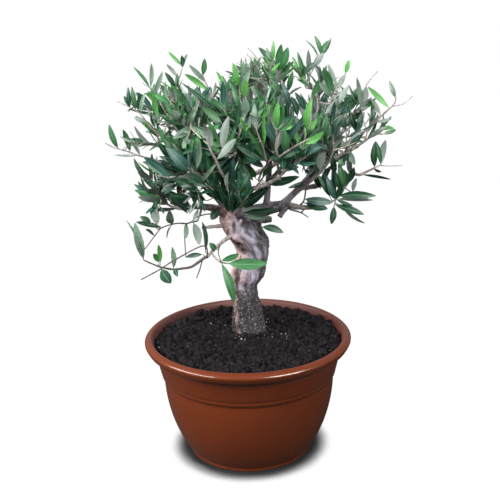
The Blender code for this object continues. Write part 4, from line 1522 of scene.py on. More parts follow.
# %% Name the sprays at the fork
FORK_VIEW = View(205, 165, 13.067, 1)
FORK_TWIGS = (
    ("dark", 1.4, 0.8, (430, 640, -10), (560, 430, -22), (740, 185, -36), (870, 20, -44)),
    ("dark", 1.2, 0.7, (940, 550, 0), (950, 510, -2), (966, 475, -3)),
    ("dark", 1.8, 0.6, (1130, 585, -1), (1250, 620, -6), (1350, 685, -10)),
    ("dark", 0.9, 0.5, (1255, 620, -6), (1300, 580, -8), (1320, 540, -10)),
    ("dark", 1.5, 0.9, (1180, 560, -1), (1260, 510, -6), (1300, 440, -8), (1325, 250, -12)),
    ("dark", 1.2, 0.7, (200, 410, -30), (440, 320, -36)),
)
FORK_LEAVES = (
    (480, 585, -14, 830, 285, -40, 15, "deep"),
    (440, 560, -14, 570, 245, -34, 15, "deep"),
    (400, 560, -12, 430, 250, -30, 12.2, "deep"),
    (380, 530, -12, 150, 490, -28, 9.5, "blue"),
    (480, 600, -14, 790, 555, -28, 8.2, "mid", "under"),
    (490, 620, -16, 950, 575, -40, 8.8, "deep"),
    (480, 655, -14, 880, 690, -30, 8.2, "grey"),
    (735, 810, -2, 1025, 880, -8, 10.5, "deep"),
    (660, 175, -34, 590, 15, -44, 6.8, "fresh"),
    (760, 180, -36, 885, 15, -50, 6.8, "fresh"),
    (760, 235, -36, 1240, 165, -56, 12.9, "deep"),
    (770, 215, -36, 1010, 165, -50, 8.2, "mid"),
    (1310, 500, -10, 1600, 570, -26, 12.2, "deep"),
    (1593, 496, -18, 1325, 494, -20, 10.9, "blue"),
)
print("fork sprays:", len(FORK_TWIGS), "twigs,", len(FORK_LEAVES), "leaves")

# %% [markdown]
# The sprays at the rim draw the crown's outline: long pale shoots with leaves set well apart.

# %% Name the sprays at the rim
RIM_VIEW = View(0, 0, 1, 1)
RIM_TWIGS = (
    ("pale", 2.4, 0.9, (352.75, 172.8, -6), (359, 174.9, -10), (366, 172, -12), (374, 168, -14),
     (381, 165, -14)),
    ("pale", 0.7, 0.5, (381, 165.5, -14), (391, 166, -14), (402, 165.5, -14)),
    ("pale", 1.7, 0.9, (360, 136, 2), (373, 124, 0), (384, 113.5, -2), (394, 104, -4),
     (396, 97, -4)),
    ("pale", 0.7, 0.4, (393.5, 106.5, -4), (404, 103.5, -4), (413, 96, -4)),
    ("pale", 1.8, 0.9, (323, 204, -14), (330, 203, -15), (336, 199, -16)),
    ("pale", 1, 0.6, (336, 199, -16), (334, 206, -16), (333, 212, -16)),
    ("pale", 1.3, 0.5, (352, 148, -2), (358, 128, -4), (362, 105, -6), (366, 86, -6),
     (378, 71, -6)),
    ("pale", 1.7, 0.6, (177, 171, -24), (162, 163.5, -26), (153.5, 159.2, -28), (140, 156, -30),
     (125.6, 150.8, -32), (114, 147.7, -32), (105, 143, -32)),
    ("pale", 1.9, 0.5, (176, 160, -26), (168, 144, -28), (160.8, 136.8, -30), (149.9, 126, -32),
     (140, 113.8, -34), (130.5, 107.7, -34), (116.5, 101, -34)),
    ("pale", 1.1, 0.7, (158.3, 134.4, -6), (153.5, 103, -4), (150.5, 88.3, -4)),
    ("pale", 1.3, 0.7, (172.9, 100, 0), (176.5, 86, 0), (180, 75, 0), (182.6, 66.5, 0)),
    ("pale", 1.8, 1, (225, 119.8, -20), (217.7, 106.5, -18), (210.5, 93.2, -14),
     (204.4, 79.8, -12), (202, 73.8, -12)),
    ("pale", 1.2, 0.8, (238.3, 113.8, -10), (239.5, 86, -10)),
    ("pale", 0.8, 0.5, (262, 78, 0), (259.5, 70, 0), (246.8, 53.7, 0)),
    ("pale", 0.8, 0.5, (264, 70, 0), (259.5, 61, 0), (247.4, 47.7, 0)),
    ("pale", 1.5, 0.9, (283.6, 91.8, -10), (278.8, 74.9, -10), (272.8, 62.8, -10)),
    ("pale", 1.4, 0.8, (305.4, 85.7, -6), (312.6, 70, -6), (322.3, 55, -6)),
    ("pale", 1.3, 0.8, (328.3, 103.8, -8), (334.4, 93, -8), (339.2, 83.3, -8), (345.2, 74, -8)),
)
RIM_LEAVES = (
    (374, 167.5, -14, 375, 143, -24, 9.4, "deep"),
    (380, 163, -14, 375.5, 141, -18, 7.4, "mid"),
    (381.5, 163, -14, 385.5, 140, -10, 10.1, "grey", "under"),
    (361, 175, -12, 391, 178, -16, 6, "deep", "edge"),
    (373, 169, -14, 381.5, 172, -18, 6.4, "deep", "edge"),
    (389, 108, -4, 367, 87, -6, 8.1, "fresh"),
    (381, 116, -2, 370, 98, -8, 6.7, "mid", "under"),
    (373, 123, 0, 371, 102, -8, 6.7, "mid"),
    (375, 122, 0, 392, 119, -6, 5.4, "mid", "under"),
    (395, 98, -4, 390, 81, -6, 6.7, "grey"),
    (357, 105, -4, 349, 85, -6, 4, "deep"),
    (361, 110, -5, 357, 77, -10, 6.7, "grey"),
    (362, 107, -6, 366, 86, -10, 9.4, "mid", "under"),
    (358, 129, -4, 361, 108, -10, 6.7, "deep"),
    (358, 130, -4, 364, 112, -12, 9.4, "mid", "under"),
    (356, 133, -4, 349, 112, -10, 8.1, "deep"),
    (337, 196, -16, 375.5, 196, -30, 10.7, "deep"),
    (338, 198, -16, 373, 200, -22, 6.7, "mid", "under"),
    (337, 199, -16, 353, 206, -30, 5.4, "deep"),
    (335, 204, -16, 364, 214, -26, 10.7, "deep"),
    (334, 206, -16, 331, 224, -24, 9.4, "deep"),
    (333, 202, -16, 306, 199, -22, 12.1, "blue"),
    (334, 199, -16, 322, 172, -26, 9.4, "deep"),
    (335, 198, -16, 331, 170, -24, 6.7, "blue"),
    (336, 198, -16, 346, 183, -18, 8.1, "grey", "under"),
    (341, 205, -18, 364, 225, -22, 6, "grey", "edge"),
    (118.5, 148, -32, 109, 125, -36, 8.1, "mid"),
    (130, 152, -32, 123, 129, -38, 8.1, "mid"),
    (141, 156, -30, 131, 140, -36, 5.4, "grey"),
    (139, 156, -30, 114, 155, -34, 3.5, "mid", "under"),
    (161, 142, -28, 141, 149, -34, 7.52, "deep", "edge"),
    (160, 163, -28, 143, 162, -34, 6, "deep"),
    (175, 169, -26, 159, 160, -32, 7.4, "blue"),
    (174, 171, -26, 158, 176, -32, 6.7, "mid"),
    (178, 186, -20, 162, 178, -26, 4.7, "mid"),
    (178, 190, -20, 155, 186.5, -24, 4, "grey", "under"),
    (130, 107.7, -34, 123.8, 96, -38, 6, "mid"),
    (131, 107, -34, 128.3, 87.5, -38, 6, "blue"),
    (136.8, 111, -34, 132.3, 87, -40, 6.7, "mid"),
    (137.7, 111, -34, 139, 92.5, -38, 5.4, "deep"),
    (141.4, 114, -34, 144.4, 93, -36, 5.4, "grey"),
    (146, 121, -33, 134, 117.5, -38, 6.7, "mid", "under"),
    (150, 88.3, -4, 133.7, 66.8, -8, 4.6, "mid"),
    (150.5, 88, -4, 151.7, 63, -6, 6.2, "grey"),
    (153, 98, -4, 162.6, 71.4, -10, 6.7, "grey"),
    (156, 119, -5, 153, 96, -14, 6.7, "fresh"),
    (182, 67, 0, 168.6, 51.4, -4, 4.8, "fresh"),
    (182, 68, 0, 182, 55, -4, 6.2, "blue"),
    (182.6, 67, 0, 187.4, 53.8, 0, 4, "grey"),
    (178.5, 79, 0, 166.2, 64, -4, 5.4, "mid", "under"),
    (176, 88, 0, 165, 72.5, -8, 6.7, "deep"),
    (176.5, 88, 0, 177.7, 73, -8, 6.7, "grey"),
    (173, 99, 0, 159, 87.7, -4, 4.6, "mid"),
    (203, 76, -12, 204.6, 58.6, -16, 7.4, "mid"),
    (209, 92, -14, 184.4, 73.8, -24, 8.1, "fresh"),
    (206, 83, -13, 189, 65, -18, 6.7, "grey"),
    (212, 96, -14, 216, 82, -16, 4, "grey", "under"),
    (239.3, 88, -10, 232.9, 62.9, -14, 8.1, "fresh"),
    (239.4, 88, -10, 244.4, 60.5, -10, 4.6, "grey"),
    (239.4, 92, -10, 250, 70, -18, 9.4, "grey"),
    (239, 97, -10, 229, 80, -20, 8.1, "mid"),
    (273, 63, -10, 259.5, 47, -12, 8.1, "deep"),
    (273, 63, -10, 266.7, 48, -12, 5.9, "grey"),
    (273, 63, -10, 274, 41, -12, 5.9, "fresh"),
    (275, 67, -10, 281.5, 44, -16, 9.4, "mid"),
    (278, 73, -10, 288, 47.5, -18, 12.1, "mid"),
    (278, 75, -10, 262, 61, -18, 5.4, "grey", "under"),
    (280, 80, -10, 261.5, 67.5, -24, 9.4, "mid"),
    (281, 82, -10, 290, 61.5, -14, 6.7, "mid"),
    (306, 85, -6, 297.5, 52, -10, 7.2, "mid"),
    (306, 86, -6, 296.5, 66, -16, 8.1, "fresh"),
    (309, 78, -6, 307.8, 49.5, -6, 6.7, "mid", "under"),
    (318, 62, -6, 303, 74, -20, 8.1, "deep"),
    (314, 67, -6, 323.5, 53, -14, 9.4, "mid", "under"),
    (321.5, 56, -6, 315, 35.6, -8, 6.7, "mid"),
    (322, 56, -6, 328.5, 40, -8, 6.7, "mid"),
    (322, 56, -6, 331.5, 38, -4, 6, "grey", "edge"),
    (319, 60, -6, 307, 39, -8, 6, "grey", "edge"),
    (333, 95, -8, 322.9, 67, -14, 9.4, "mid"),
    (338, 86, -8, 328.3, 64, -12, 6.7, "grey", "under"),
    (345, 75, -8, 349, 59.8, -10, 6.7, "fresh"),
    (336, 90, -8, 345.5, 74.5, -16, 8.1, "mid", "under"),
    (332, 97, -8, 319.3, 83.3, -18, 8.1, "grey"),
    (331, 99, -8, 349, 86.9, -16, 8.1, "mid", "under"),
    (330, 101, -8, 351.5, 95, -14, 8.1, "deep"),
)
print("rim sprays:", len(RIM_TWIGS), "twigs,", len(RIM_LEAVES), "leaves")

# %% [markdown]
# On the front of the crown the leaves are nearest and look largest, so their places make the
# pattern that the eye sees first.

# %% Name the sprays on the front
FRONT_VIEW = View(0, 0, 1, 0)
FRONT_TWIGS = (
    ("pale", 1.9, 1.1, (233, 188, -66), (223, 175, -94), (216.5, 160.4, -112), (211, 150, -120),
     (207, 137, -124)),
    ("pale", 1.7, 1, (221, 205, -56), (207.4, 189.1, -84), (196, 178, -100), (187.7, 170.9, -108)),
    ("pale", 1.9, 1.2, (280, 178, -56), (278, 166, -84), (277, 156, -102), (275.7, 145, -114),
     (276.4, 128, -122)),
    ("pale", 1.5, 0.8, (277.5, 158, -100), (287, 151, -106), (298, 144.6, -110), (310, 138, -112)),
    ("pale", 1.5, 1.1, (259, 178.5, -62), (268, 163, -92), (277, 156, -102)),
    ("pale", 1.3, 0.7, (267, 164, -92), (263, 147, -108), (258, 134, -114), (255, 124, -118)),
    ("pale", 1.5, 0.7, (171, 154, -32), (165, 135, -38), (166.5, 123.4, -42), (172.3, 98, -46)),
    ("pale", 1.3, 0.6, (176, 142, -44), (187, 127, -50), (193.6, 114.3, -56), (197.5, 100, -60)),
    ("pale", 1.2, 0.6, (182, 145, -40), (176, 127, -46), (166, 113, -50), (158, 98, -52)),
    ("pale", 1.5, 0.9, (308, 182, -36), (314, 177, -46), (320, 172, -52)),
    ("pale", 1.2, 0.7, (331, 128, -44), (332, 115, -50), (334, 102, -54), (343, 80, -56)),
    ("pale", 1.2, 0.7, (238, 142, -104), (242, 128, -110), (245, 112, -112), (243, 98, -112)),
    ("pale", 1.2, 0.7, (290, 112, -60), (291, 100, -64), (286, 88, -66), (281, 80, -66)),
    ("pale", 1.2, 0.7, (309, 128, -80), (312, 112, -84), (311, 98, -86), (313, 88, -86)),
    ("pale", 1.1, 0.6, (346, 148, -30), (346, 134, -34), (344, 121, -36)),
    ("pale", 1.2, 0.8, (352, 172.5, -8), (350, 180, -12), (345, 188, -16)),
)
FRONT_LEAVES = (
    (222.5, 124, -92, 201.8, 107.3, -98, 10.1, "mid"),
    (209, 151, -120, 203.6, 122.5, -134, 10.1, "grey", "under"),
    (220.5, 143, -118, 206.7, 119, -126, 6.2, "mid"),
    (222.5, 150, -116, 228, 117.5, -134, 10.4, "grey", "under"),
    (218, 160, -112, 236.5, 139, -136, 9.5, "grey", "under"),
    (236, 139, -106, 249, 126.5, -118, 4.5, "fresh"),
    (202.5, 182, -94, 215.8, 164.6, -108, 5.1, "grey"),
    (196, 170, -100, 200, 141, -116, 7.6, "grey"),
    (197, 170, -96, 194.5, 147, -108, 8.1, "blue"),
    (203, 174, -94, 200.8, 150, -104, 7.9, "deep"),
    (208, 172, -98, 204.5, 151, -110, 8.1, "deep"),
    (189, 172.5, -108, 167.5, 147, -122, 12.6, "blue"),
    (172, 161, -40, 158.5, 143, -48, 10.7, "deep"),
    (177, 171, -46, 158.9, 160.4, -52, 8.6, "blue"),
    (175, 171, -40, 158.2, 176, -48, 7.3, "deep"),
    (200, 191, -90, 173.5, 180, -104, 13.5, "deep"),
    (199, 189, -88, 181, 186, -104, 7.7, "blue", "under"),
    (175, 199, -20, 160.4, 187.5, -28, 8.9, "deep"),
    (192, 198, -26, 171, 195, -34, 8.9, "deep"),
    (236, 172, -84, 247.6, 156.8, -96, 5.1, "mid"),
    (156.5, 118, -50, 153, 93.2, -56, 6, "fresh"),
    (166, 122, -42, 156.8, 104, -50, 8.4, "mid"),
    (168, 125, -42, 173, 104.5, -52, 8.7, "grey"),
    (173.5, 113, -46, 182.3, 95, -54, 8.1, "mid"),
    (190, 121, -50, 179, 105, -58, 8.6, "deep"),
    (186, 132, -50, 172.6, 120.5, -58, 8.6, "deep"),
    (178, 144, -44, 193, 119.5, -58, 8.7, "blue"),
    (188.5, 139, -52, 198.2, 101.7, -64, 9.2, "grey"),
    (216, 111, -70, 182, 82.5, -74, 4.6, "deep"),
    (222, 108, -78, 223, 80, -86, 7.6, "blue"),
    (158, 123, -40, 155.5, 108, -44, 7.4, "grey"),
    (235, 131, -104, 238.5, 105, -114, 8.2, "deep"),
    (244, 116, -112, 246, 98.5, -120, 10.3, "grey"),
    (243, 99, -112, 245, 79, -120, 9.3, "fresh"),
    (240, 110, -108, 233, 86, -112, 7.4, "mid"),
    (276, 128, -120, 278, 103, -132, 8.6, "fresh"),
    (277, 129, -120, 284, 103, -130, 8.1, "mid"),
    (275, 130, -118, 269, 107, -126, 5.7, "grey", "under"),
    (275.7, 143, -114, 265.5, 124, -126, 9.2, "blue"),
    (277, 150, -108, 287, 120, -122, 7.5, "mid", "under"),
    (286.5, 151, -108, 286, 132, -122, 10, "mid"),
    (290, 141, -108, 300.5, 122, -120, 8.7, "blue"),
    (278.5, 132, -116, 294.5, 116.6, -126, 7.4, "mid"),
    (268, 163, -94, 247, 130, -116, 8.1, "mid"),
    (267, 161, -92, 251, 137, -110, 5.9, "grey", "under"),
    (263.5, 148, -108, 264, 112.5, -120, 5.5, "fresh"),
    (257, 130, -116, 250.6, 113.5, -124, 7.4, "mid", "under"),
    (247, 131, -108, 240, 117.5, -118, 5, "fresh"),
    (266, 160, -92, 235.5, 145, -110, 11.5, "deep"),
    (262, 168, -84, 246, 157, -94, 10.3, "blue"),
    (281, 159, -98, 299, 152, -110, 7.6, "deep"),
    (288, 160, -90, 312, 147.5, -104, 7.7, "deep"),
    (307, 131, -84, 311, 100.5, -98, 9.4, "fresh"),
    (305, 144.5, -110, 323.8, 132, -124, 9, "fresh"),
    (309, 100, -86, 318.8, 79, -94, 6.8, "mid"),
    (306.5, 112, -82, 295.5, 93, -92, 7.6, "blue"),
    (281, 94, -66, 272, 80, -72, 7.7, "mid"),
    (290, 108, -62, 284, 84, -70, 9, "blue"),
    (286, 92, -66, 293, 72, -74, 7.6, "mid"),
    (298, 117, -58, 292, 97, -66, 9.1, "deep"),
    (334, 140, -40, 320, 123, -52, 13.3, "deep"),
    (321, 172, -54, 322, 143.5, -66, 13.8, "grey", "under"),
    (318, 175, -50, 314.5, 152, -60, 12.8, "deep"),
    (324.5, 115, -52, 338.5, 97, -60, 7.8, "grey", "under"),
    (332, 125, -46, 334, 101, -58, 6.6, "blue"),
    (338, 106, -54, 348, 86, -60, 7.8, "grey", "under"),
    (339.5, 108, -52, 352, 96, -58, 6, "deep"),
    (346, 131, -34, 340, 111, -40, 9.3, "deep"),
    (331, 93, -54, 324.5, 73, -60, 9, "mid"),
    (345, 165, -26, 338.5, 161, -30, 10.8, "mid"),
    (349, 150, -26, 354.7, 165, -32, 7.5, "grey"),
    (339, 161, -24, 350, 154, -30, 9.5, "blue"),
    (349.5, 185, -16, 354.5, 166.9, -24, 8.2, "deep"),
    (352, 176, -12, 350, 150, -20, 8.2, "grey"),
    (345, 188, -16, 339.3, 164, -26, 10.3, "mid"),
    (346, 187, -16, 343.5, 170, -24, 9.6, "deep"),
    (353, 192, -18, 356, 178, -24, 6.9, "mid", "under"),
    (341, 190, -18, 336, 173, -28, 8.9, "deep"),
    (336, 200, -16, 341.5, 183, -26, 8.3, "deep"),
    (330, 197, -18, 318, 175, -26, 10.3, "deep"),
    (336, 200, -16, 328, 178, -26, 10.4, "blue"),
    (348, 156.5, -10, 336.3, 161, -18, 6.8, "deep"),
    (313, 180.6, -10, 288, 188.6, -18, 6.9, "deep"),
    (334, 176, -6, 331, 156, -14, 9, "deep"),
    (161, 163.5, -34, 143.5, 162, -40, 6.7, "deep"),
    (175.6, 183.8, -30, 162.4, 178.7, -36, 4.7, "deep"),
    (175.6, 186.4, -28, 154.3, 186.8, -34, 3.5, "deep", "edge"),
    (186, 201, -24, 166, 190, -32, 10.3, "deep"),
    (190, 204, -24, 170, 203, -30, 8.9, "deep"),
    (197, 197.5, -30, 188, 214.6, -36, 6.1, "grey", "under"),
    (191, 195.6, -30, 183, 203, -36, 4.1, "grey", "under"),
    (213, 187, -70, 207, 164, -90, 9.2, "deep"),
    (226, 185, -70, 219, 163, -90, 10.5, "deep"),
    (233, 182, -66, 240, 160, -86, 10.5, "blue"),
    (251, 178, -60, 244, 162, -80, 9.2, "deep"),
    (320, 189, -12, 311, 170, -20, 9.7, "deep"),
    (322, 184, -10, 331, 166, -18, 8.3, "deep"),
    (314, 180, -12, 305, 169, -20, 6.9, "deep"),
    (190, 207, -24, 177, 197, -32, 8.9, "deep"),
    (184, 208, -22, 170, 196, -30, 8.9, "deep"),
    (194, 205, -26, 192, 187, -34, 8.2, "deep"),
    (201, 207, -26, 199, 190, -34, 7.5, "mid"),
    (187, 213, -20, 179, 199, -28, 9, "blue"),
    (206, 201, -30, 187, 193, -40, 9.5, "deep"),
    (214, 199, -36, 205, 178, -50, 10.8, "deep"),
    (199, 208, -26, 193, 222, -32, 5.5, "grey", "under"),
)
SPRAYS = (
    (LOW_VIEW, LOW_TWIGS, LOW_LEAVES),
    (FORK_VIEW, FORK_TWIGS, FORK_LEAVES),
    (RIM_VIEW, RIM_TWIGS, RIM_LEAVES),
    (FRONT_VIEW, FRONT_TWIGS, FRONT_LEAVES),
)
SPRAY_TWIGS = [twig for view, twigs, _ in SPRAYS for twig in read_twigs(view, twigs)]
SPRAY_LEAVES = [leaf for view, _, leaves in SPRAYS for leaf in read_leaves(view, leaves)]
print("named twigs:", len(SPRAY_TWIGS), "named leaves:", len(SPRAY_LEAVES))

# %% [markdown]
# All that has grown is remembered as places along its middle. A new twig or leaf starts from the
# nearest of them, or from the trunk's skin if that is nearer. A leaf that stands further off gets a
# thin twig of its own.

# %% Lead the sprays to the wood
SPRAY_STEP = 0.004
PLACE_STEP = 0.002
LIMB_PLACES = 24
ROOT_SUNK = 0.0015
STALK_REACH, STALK_BOW, STALK_MIDDLE, STALK_RINGS = 0.004, 0.12, 0.6, 6
STALK_RADII = (0.0008, 0.0005)
grown_places = []


def flowing(points):
    """A smooth line through the points."""
    rows = [(i, *point) for i, point in enumerate(points)]
    count = max(round(way_length(points) / SPRAY_STEP), 3)
    return [Vector(smooth_row(rows, (len(points) - 1) * i / count)[1:]) for i in range(count + 1)]


def taper(points, root_radius, tip_radius):
    last = len(points) - 1
    return [root_radius + (tip_radius - root_radius) * i / last for i in range(last + 1)]


def remember(points):
    for a, b in zip(points, points[1:]):
        steps = max(round((b - a).length / PLACE_STEP), 1)
        grown_places.extend(a.lerp(b, i / steps) for i in range(steps + 1))


def nearest_wood(point):
    """The nearest place just under the trunk's skin or in the middle of a limb or twig."""
    skin, normal, _, away = wood_tree.find_nearest(point)
    middle = min(grown_places, key=lambda place: (place - point).length)
    return middle if (middle - point).length < away else skin - normal * ROOT_SUNK


def lead_twig(tone, root_radius, tip_radius, *places):
    """A spray's twig from the nearest wood: its line, its radii and its bark."""
    points = [Vector(place) * MILLIMETRE for place in places]
    root = nearest_wood(points[0])
    if (root - points[0]).length > PLACE_STEP:
        points.insert(0, root)
    line = flowing(points)
    remember(line)
    return line, taper(line, root_radius * MILLIMETRE, tip_radius * MILLIMETRE), tone


def lead_leaf(x, y, z, tip_x, tip_y, tip_z, width, tint, side="upper"):
    """A spray's leaf from the nearest wood, and the thin twig that it may need."""
    root, tip = Vector((x, y, z)) * MILLIMETRE, Vector((tip_x, tip_y, tip_z)) * MILLIMETRE
    wood = nearest_wood(root)
    stalk = None
    if (wood - root).length > STALK_REACH:
        bow = wood.lerp(root, STALK_MIDDLE) - UP * (wood - root).length * STALK_BOW
        line = curve_points([wood, bow, root], STALK_RINGS)
        stalk = (line, taper(line, *STALK_RADII), "dark")
        wood = root
    return (wood, tip, width * MILLIMETRE, tint, side), stalk


for limb in THIN_LIMBS:
    remember(curve_points(limb_curve(limb), LIMB_PLACES))
for layout in layouts:
    for level, points in layout:
        if level < 2:
            remember(points)
spray_twigs = [lead_twig(*row) for row in SPRAY_TWIGS]
spray_leaves = []
for row in SPRAY_LEAVES:
    leaf, stalk = lead_leaf(*row)
    spray_leaves.append(leaf)
    if stalk:
        spray_twigs.append(stalk)
print("twigs of the sprays:", len(spray_twigs))

# %% [markdown]
# Stems keep the limb's grey bark, and the young shoots are paler and greener. They are grown with
# few sides, because there are hundreds of them and each is only a millimetre or two thick.

# %% Grow the twigs
SIDES = (8, 6, 5)
STEM_SHARE = 0.80
SHOOT_RADIUS, TWIG_RADIUS, TIP_RADIUS = 0.0014, 0.0010, 0.0005
NODE_SPACING = 0.0145


def grow_twig(points, radii, sides):
    return new_mesh("twig_shape", knobbly(points, radii, sides, NODE_SPACING))


stems, shoots = [], []
for mass, layout in zip(MASSES, layouts):
    root_radii = (LIMB_NAMED[mass.limb].tip_radius * STEM_SHARE, SHOOT_RADIUS, TWIG_RADIUS)
    for level, points in layout:
        radii = taper(points, root_radii[level], TIP_RADIUS)
        (shoots if level else stems).append(grow_twig(points, radii, SIDES[level]))
for points, radii, tone in spray_twigs:
    grown = grow_twig(points, radii, SIDES[1])
    for face in grown.polygons:
        face.material_index = 1 if tone == "dark" else 0
    stems.append(grown)
shoot_bark = make_twig_bark("shoot_bark", (0.36, 0.31, 0.235), (0.60, 0.53, 0.43), (0.24, 0.19, 0.14))
dark_bark = make_twig_bark("dark_twig_bark", (0.042, 0.032, 0.029), (0.115, 0.092, 0.083),
                           (0.030, 0.024, 0.022))
for name, grown, barks in (("stems", stems, [limb_bark, dark_bark]), ("shoots", shoots, [shoot_bark])):
    new_piece(name, new_mesh(name, gathered(grown)), barks, MASS_NODES, FINE_CREASE_ANGLE)

# %% [markdown]
# ## Leaves
# An olive leaf is a narrow blade with a short stalk and a blunt point, leathery green above with a
# pale midrib and silvery below. It is cut from a small grid: rows are drawn in to the outline, the
# middle is folded down, the length is curled, and the sheet is given its thickness. The midrib and
# the underside get slots of their own, because that keeps their colours in place on thousands of
# leaves without any pattern.

# %% Shape the leaf
LEAF_OUTLINE = (
    # share of the length, share of the greatest width
    (0, 0.09), (0.06, 0.10), (0.17, 0.50), (0.34, 0.88),
    (0.54, 1.0), (0.74, 0.82), (0.90, 0.46), (1, 0.08),
)
LEAF_COLUMNS = (-1, -0.07, 0.07, 1)
MIDRIB_SHOWN = 0.021
LEAF_FOLD = 0.22
LEAF_THICKNESS = 0.010
LEAF_HALF_WIDTH = 0.12
CURLS = (
    # bend along the length, drop of the tip, sideways sway
    (0.05, 0.02, 0.02),
    (0.09, 0.09, -0.04),
    (-0.05, -0.05, 0.03),
)


def make_leaf_shape(name, bend, drop, sway):
    solid = bmesh.new()
    rows, columns = len(LEAF_OUTLINE) - 1, len(LEAF_COLUMNS) - 1
    bmesh.ops.create_grid(solid, x_segments=columns, y_segments=rows, size=0.5)
    for vert in solid.verts:
        share, width = LEAF_OUTLINE[round((vert.co.y + 0.5) * rows)]
        side = LEAF_COLUMNS[round((vert.co.x + 0.5) * columns)] * width * LEAF_HALF_WIDTH
        bow = math.sin(math.pi * share)
        rise = LEAF_FOLD * abs(side) + bend * bow - drop * share**2
        vert.co = (side + sway * bow, share, rise)
    bmesh.ops.recalc_face_normals(solid, faces=solid.faces)
    bmesh.ops.solidify(solid, geom=solid.faces[:], thickness=LEAF_THICKNESS)
    bmesh.ops.recalc_face_normals(solid, faces=solid.faces)
    for face in solid.faces:
        centre = face.calc_center_median()
        sideways = abs(centre.x - sway * math.sin(math.pi * centre.y))
        if face.normal.z < 0:
            face.material_index = 2
        elif sideways < MIDRIB_SHOWN * LEAF_HALF_WIDTH:
            face.material_index = 1
    mesh = new_mesh(name, solid)
    mesh.shade_smooth()
    mesh.set_sharp_from_angle(angle=math.radians(FINE_CREASE_ANGLE))
    return mesh


LEAF_SHAPES = [make_leaf_shape(f"leaf_shape_{i}", *curl) for i, curl in enumerate(CURLS)]
print("faces of a leaf:", [len(shape.polygons) for shape in LEAF_SHAPES])

# %% [markdown]
# A leaf leans forward along its shoot and turns its upper side up and outward to the light. One
# that would leave the crown's rooms or touch the wood is shortened and turned, and is left out if it
# still doesn't fit.

# %% Fit a leaf to its shoot
LEAF_WIDTHS = (0.85, 1.2)
LEAF_TRIES, TRY_TURN, TRY_SIZE = 4, 0.35, 0.88
LEAF_RISE, LEAF_LOOK, LEAF_OUT, LEAF_ROLL = 0.20, 0.45, 1.30, 0.50
TURN_PLAY = 0.3
CROWN_MIDDLE = Vector((0, 0, 0.46))


def leaf_matrix(root, lean, upper, length, width):
    """Places the leaf's shape: its length along lean, its upper side towards upper."""
    side = lean.cross(upper).normalized()
    over = side.cross(lean)
    turn = Matrix((side, lean, over)).transposed().to_4x4()
    return Matrix.Translation(root) @ turn @ Matrix.Diagonal((length * width, length, length, 1))


def fit_leaf(root, heading, turn, spread, length, seed):
    """The placing of one leaf, or None."""
    aside = heading.orthogonal().normalized()
    for _ in range(LEAF_TRIES):
        angle = math.radians(seed.uniform(*spread))
        out = Matrix.Rotation(turn + seed.uniform(-TURN_PLAY, TURN_PLAY), 3, heading) @ aside
        lean = (heading * math.cos(angle) + out * math.sin(angle) + UP * LEAF_RISE).normalized()
        upper = heading * math.sin(angle) - out * math.cos(angle) + any_direction(seed) * LEAF_ROLL
        upper += UP * LEAF_LOOK + (root - CROWN_MIDDLE).normalized() * LEAF_OUT
        if in_crown(root + lean * length) and clear(root, root + lean * length):
            return leaf_matrix(root, lean, upper, length, seed.uniform(*LEAF_WIDTHS))
        turn += TRY_TURN
        length *= TRY_SIZE
    return None


print("a leaf of 40 mm is", round(2 * 40 * LEAF_HALF_WIDTH, 1), "mm wide")

# %% [markdown]
# Leaves grow in opposite pairs, each pair turned a quarter from the last, and are smaller towards
# the shoot's tip. The tint is dealt out by shoot: fresh green at the top, deep and bluish green low
# down, with a neighbouring tint here and there. The dark tints low in the crown are partly the
# leaves' own colour and partly painted shade.

# %% Set the leaves on the shoots
LEAF_LENGTH = 0.037
LEAF_SIZES = (0.78, 1.22)
LOW_LEAF_SHARE = 0.16
FIRST_NODE = (0.20, 0.20, 0.15)
LAST_NODE = 0.98
LEAF_SPREAD, TIP_SPREAD = (20, 46), (8, 22)
YOUNG_SIZE = 0.70
TINTS = ("deep", "blue", "mid", "fresh", "grey")
TINT_DRIFT = 0.25
LOW_CROWN, CROWN_HEIGHT = 0.425, 0.14
LIGHT_PLAY, FRESH_LIGHT, MID_LIGHT = 0.4, 1.0, 0.45
GREY_SHARE, BLUE_SHARE = 0.08, 0.35


def height_in_crown(point):
    return (point.z - LOW_CROWN) / CROWN_HEIGHT


def shoot_tint(points, seed):
    """The tint of a shoot's leaves, by how high it ends: darker low down, partly as painted shade."""
    light = height_in_crown(points[-1]) + seed.uniform(-LIGHT_PLAY, LIGHT_PLAY)
    if seed.random() < GREY_SHARE:
        return "grey"
    if light > FRESH_LIGHT:
        return "fresh"
    if light > MID_LIGHT:
        return "mid"
    return "blue" if seed.random() < BLUE_SHARE else "deep"


def dress(points, level, seed):
    """Leaves on one shoot."""
    length = way_length(points)
    start = FIRST_NODE[level] * length
    pairs = max(round((length - start) / NODE_SPACING), 1)
    turn = seed.uniform(0, math.pi)
    low = 1 - min(max(height_in_crown(points[-1]), 0), 1)
    full = LEAF_LENGTH * (1 + LOW_LEAF_SHARE * low)
    placed = []
    for pair in range(pairs):
        t = (start + (length - start) * (pair + 0.5) / pairs) / length
        root, heading = along(points, t)
        young = 1 - (1 - YOUNG_SIZE) * ((pair + 1) / pairs) ** 3
        for side in (0, math.pi):
            size = full * young * seed.uniform(*LEAF_SIZES)
            placed.append(fit_leaf(root, heading, turn + side, LEAF_SPREAD, size, seed))
        turn += math.pi / 2
    root, heading = along(points, LAST_NODE)
    size = full * YOUNG_SIZE * seed.uniform(*LEAF_SIZES)
    placed.append(fit_leaf(root, heading, turn, TIP_SPREAD, size, seed))
    return [matrix for matrix in placed if matrix]


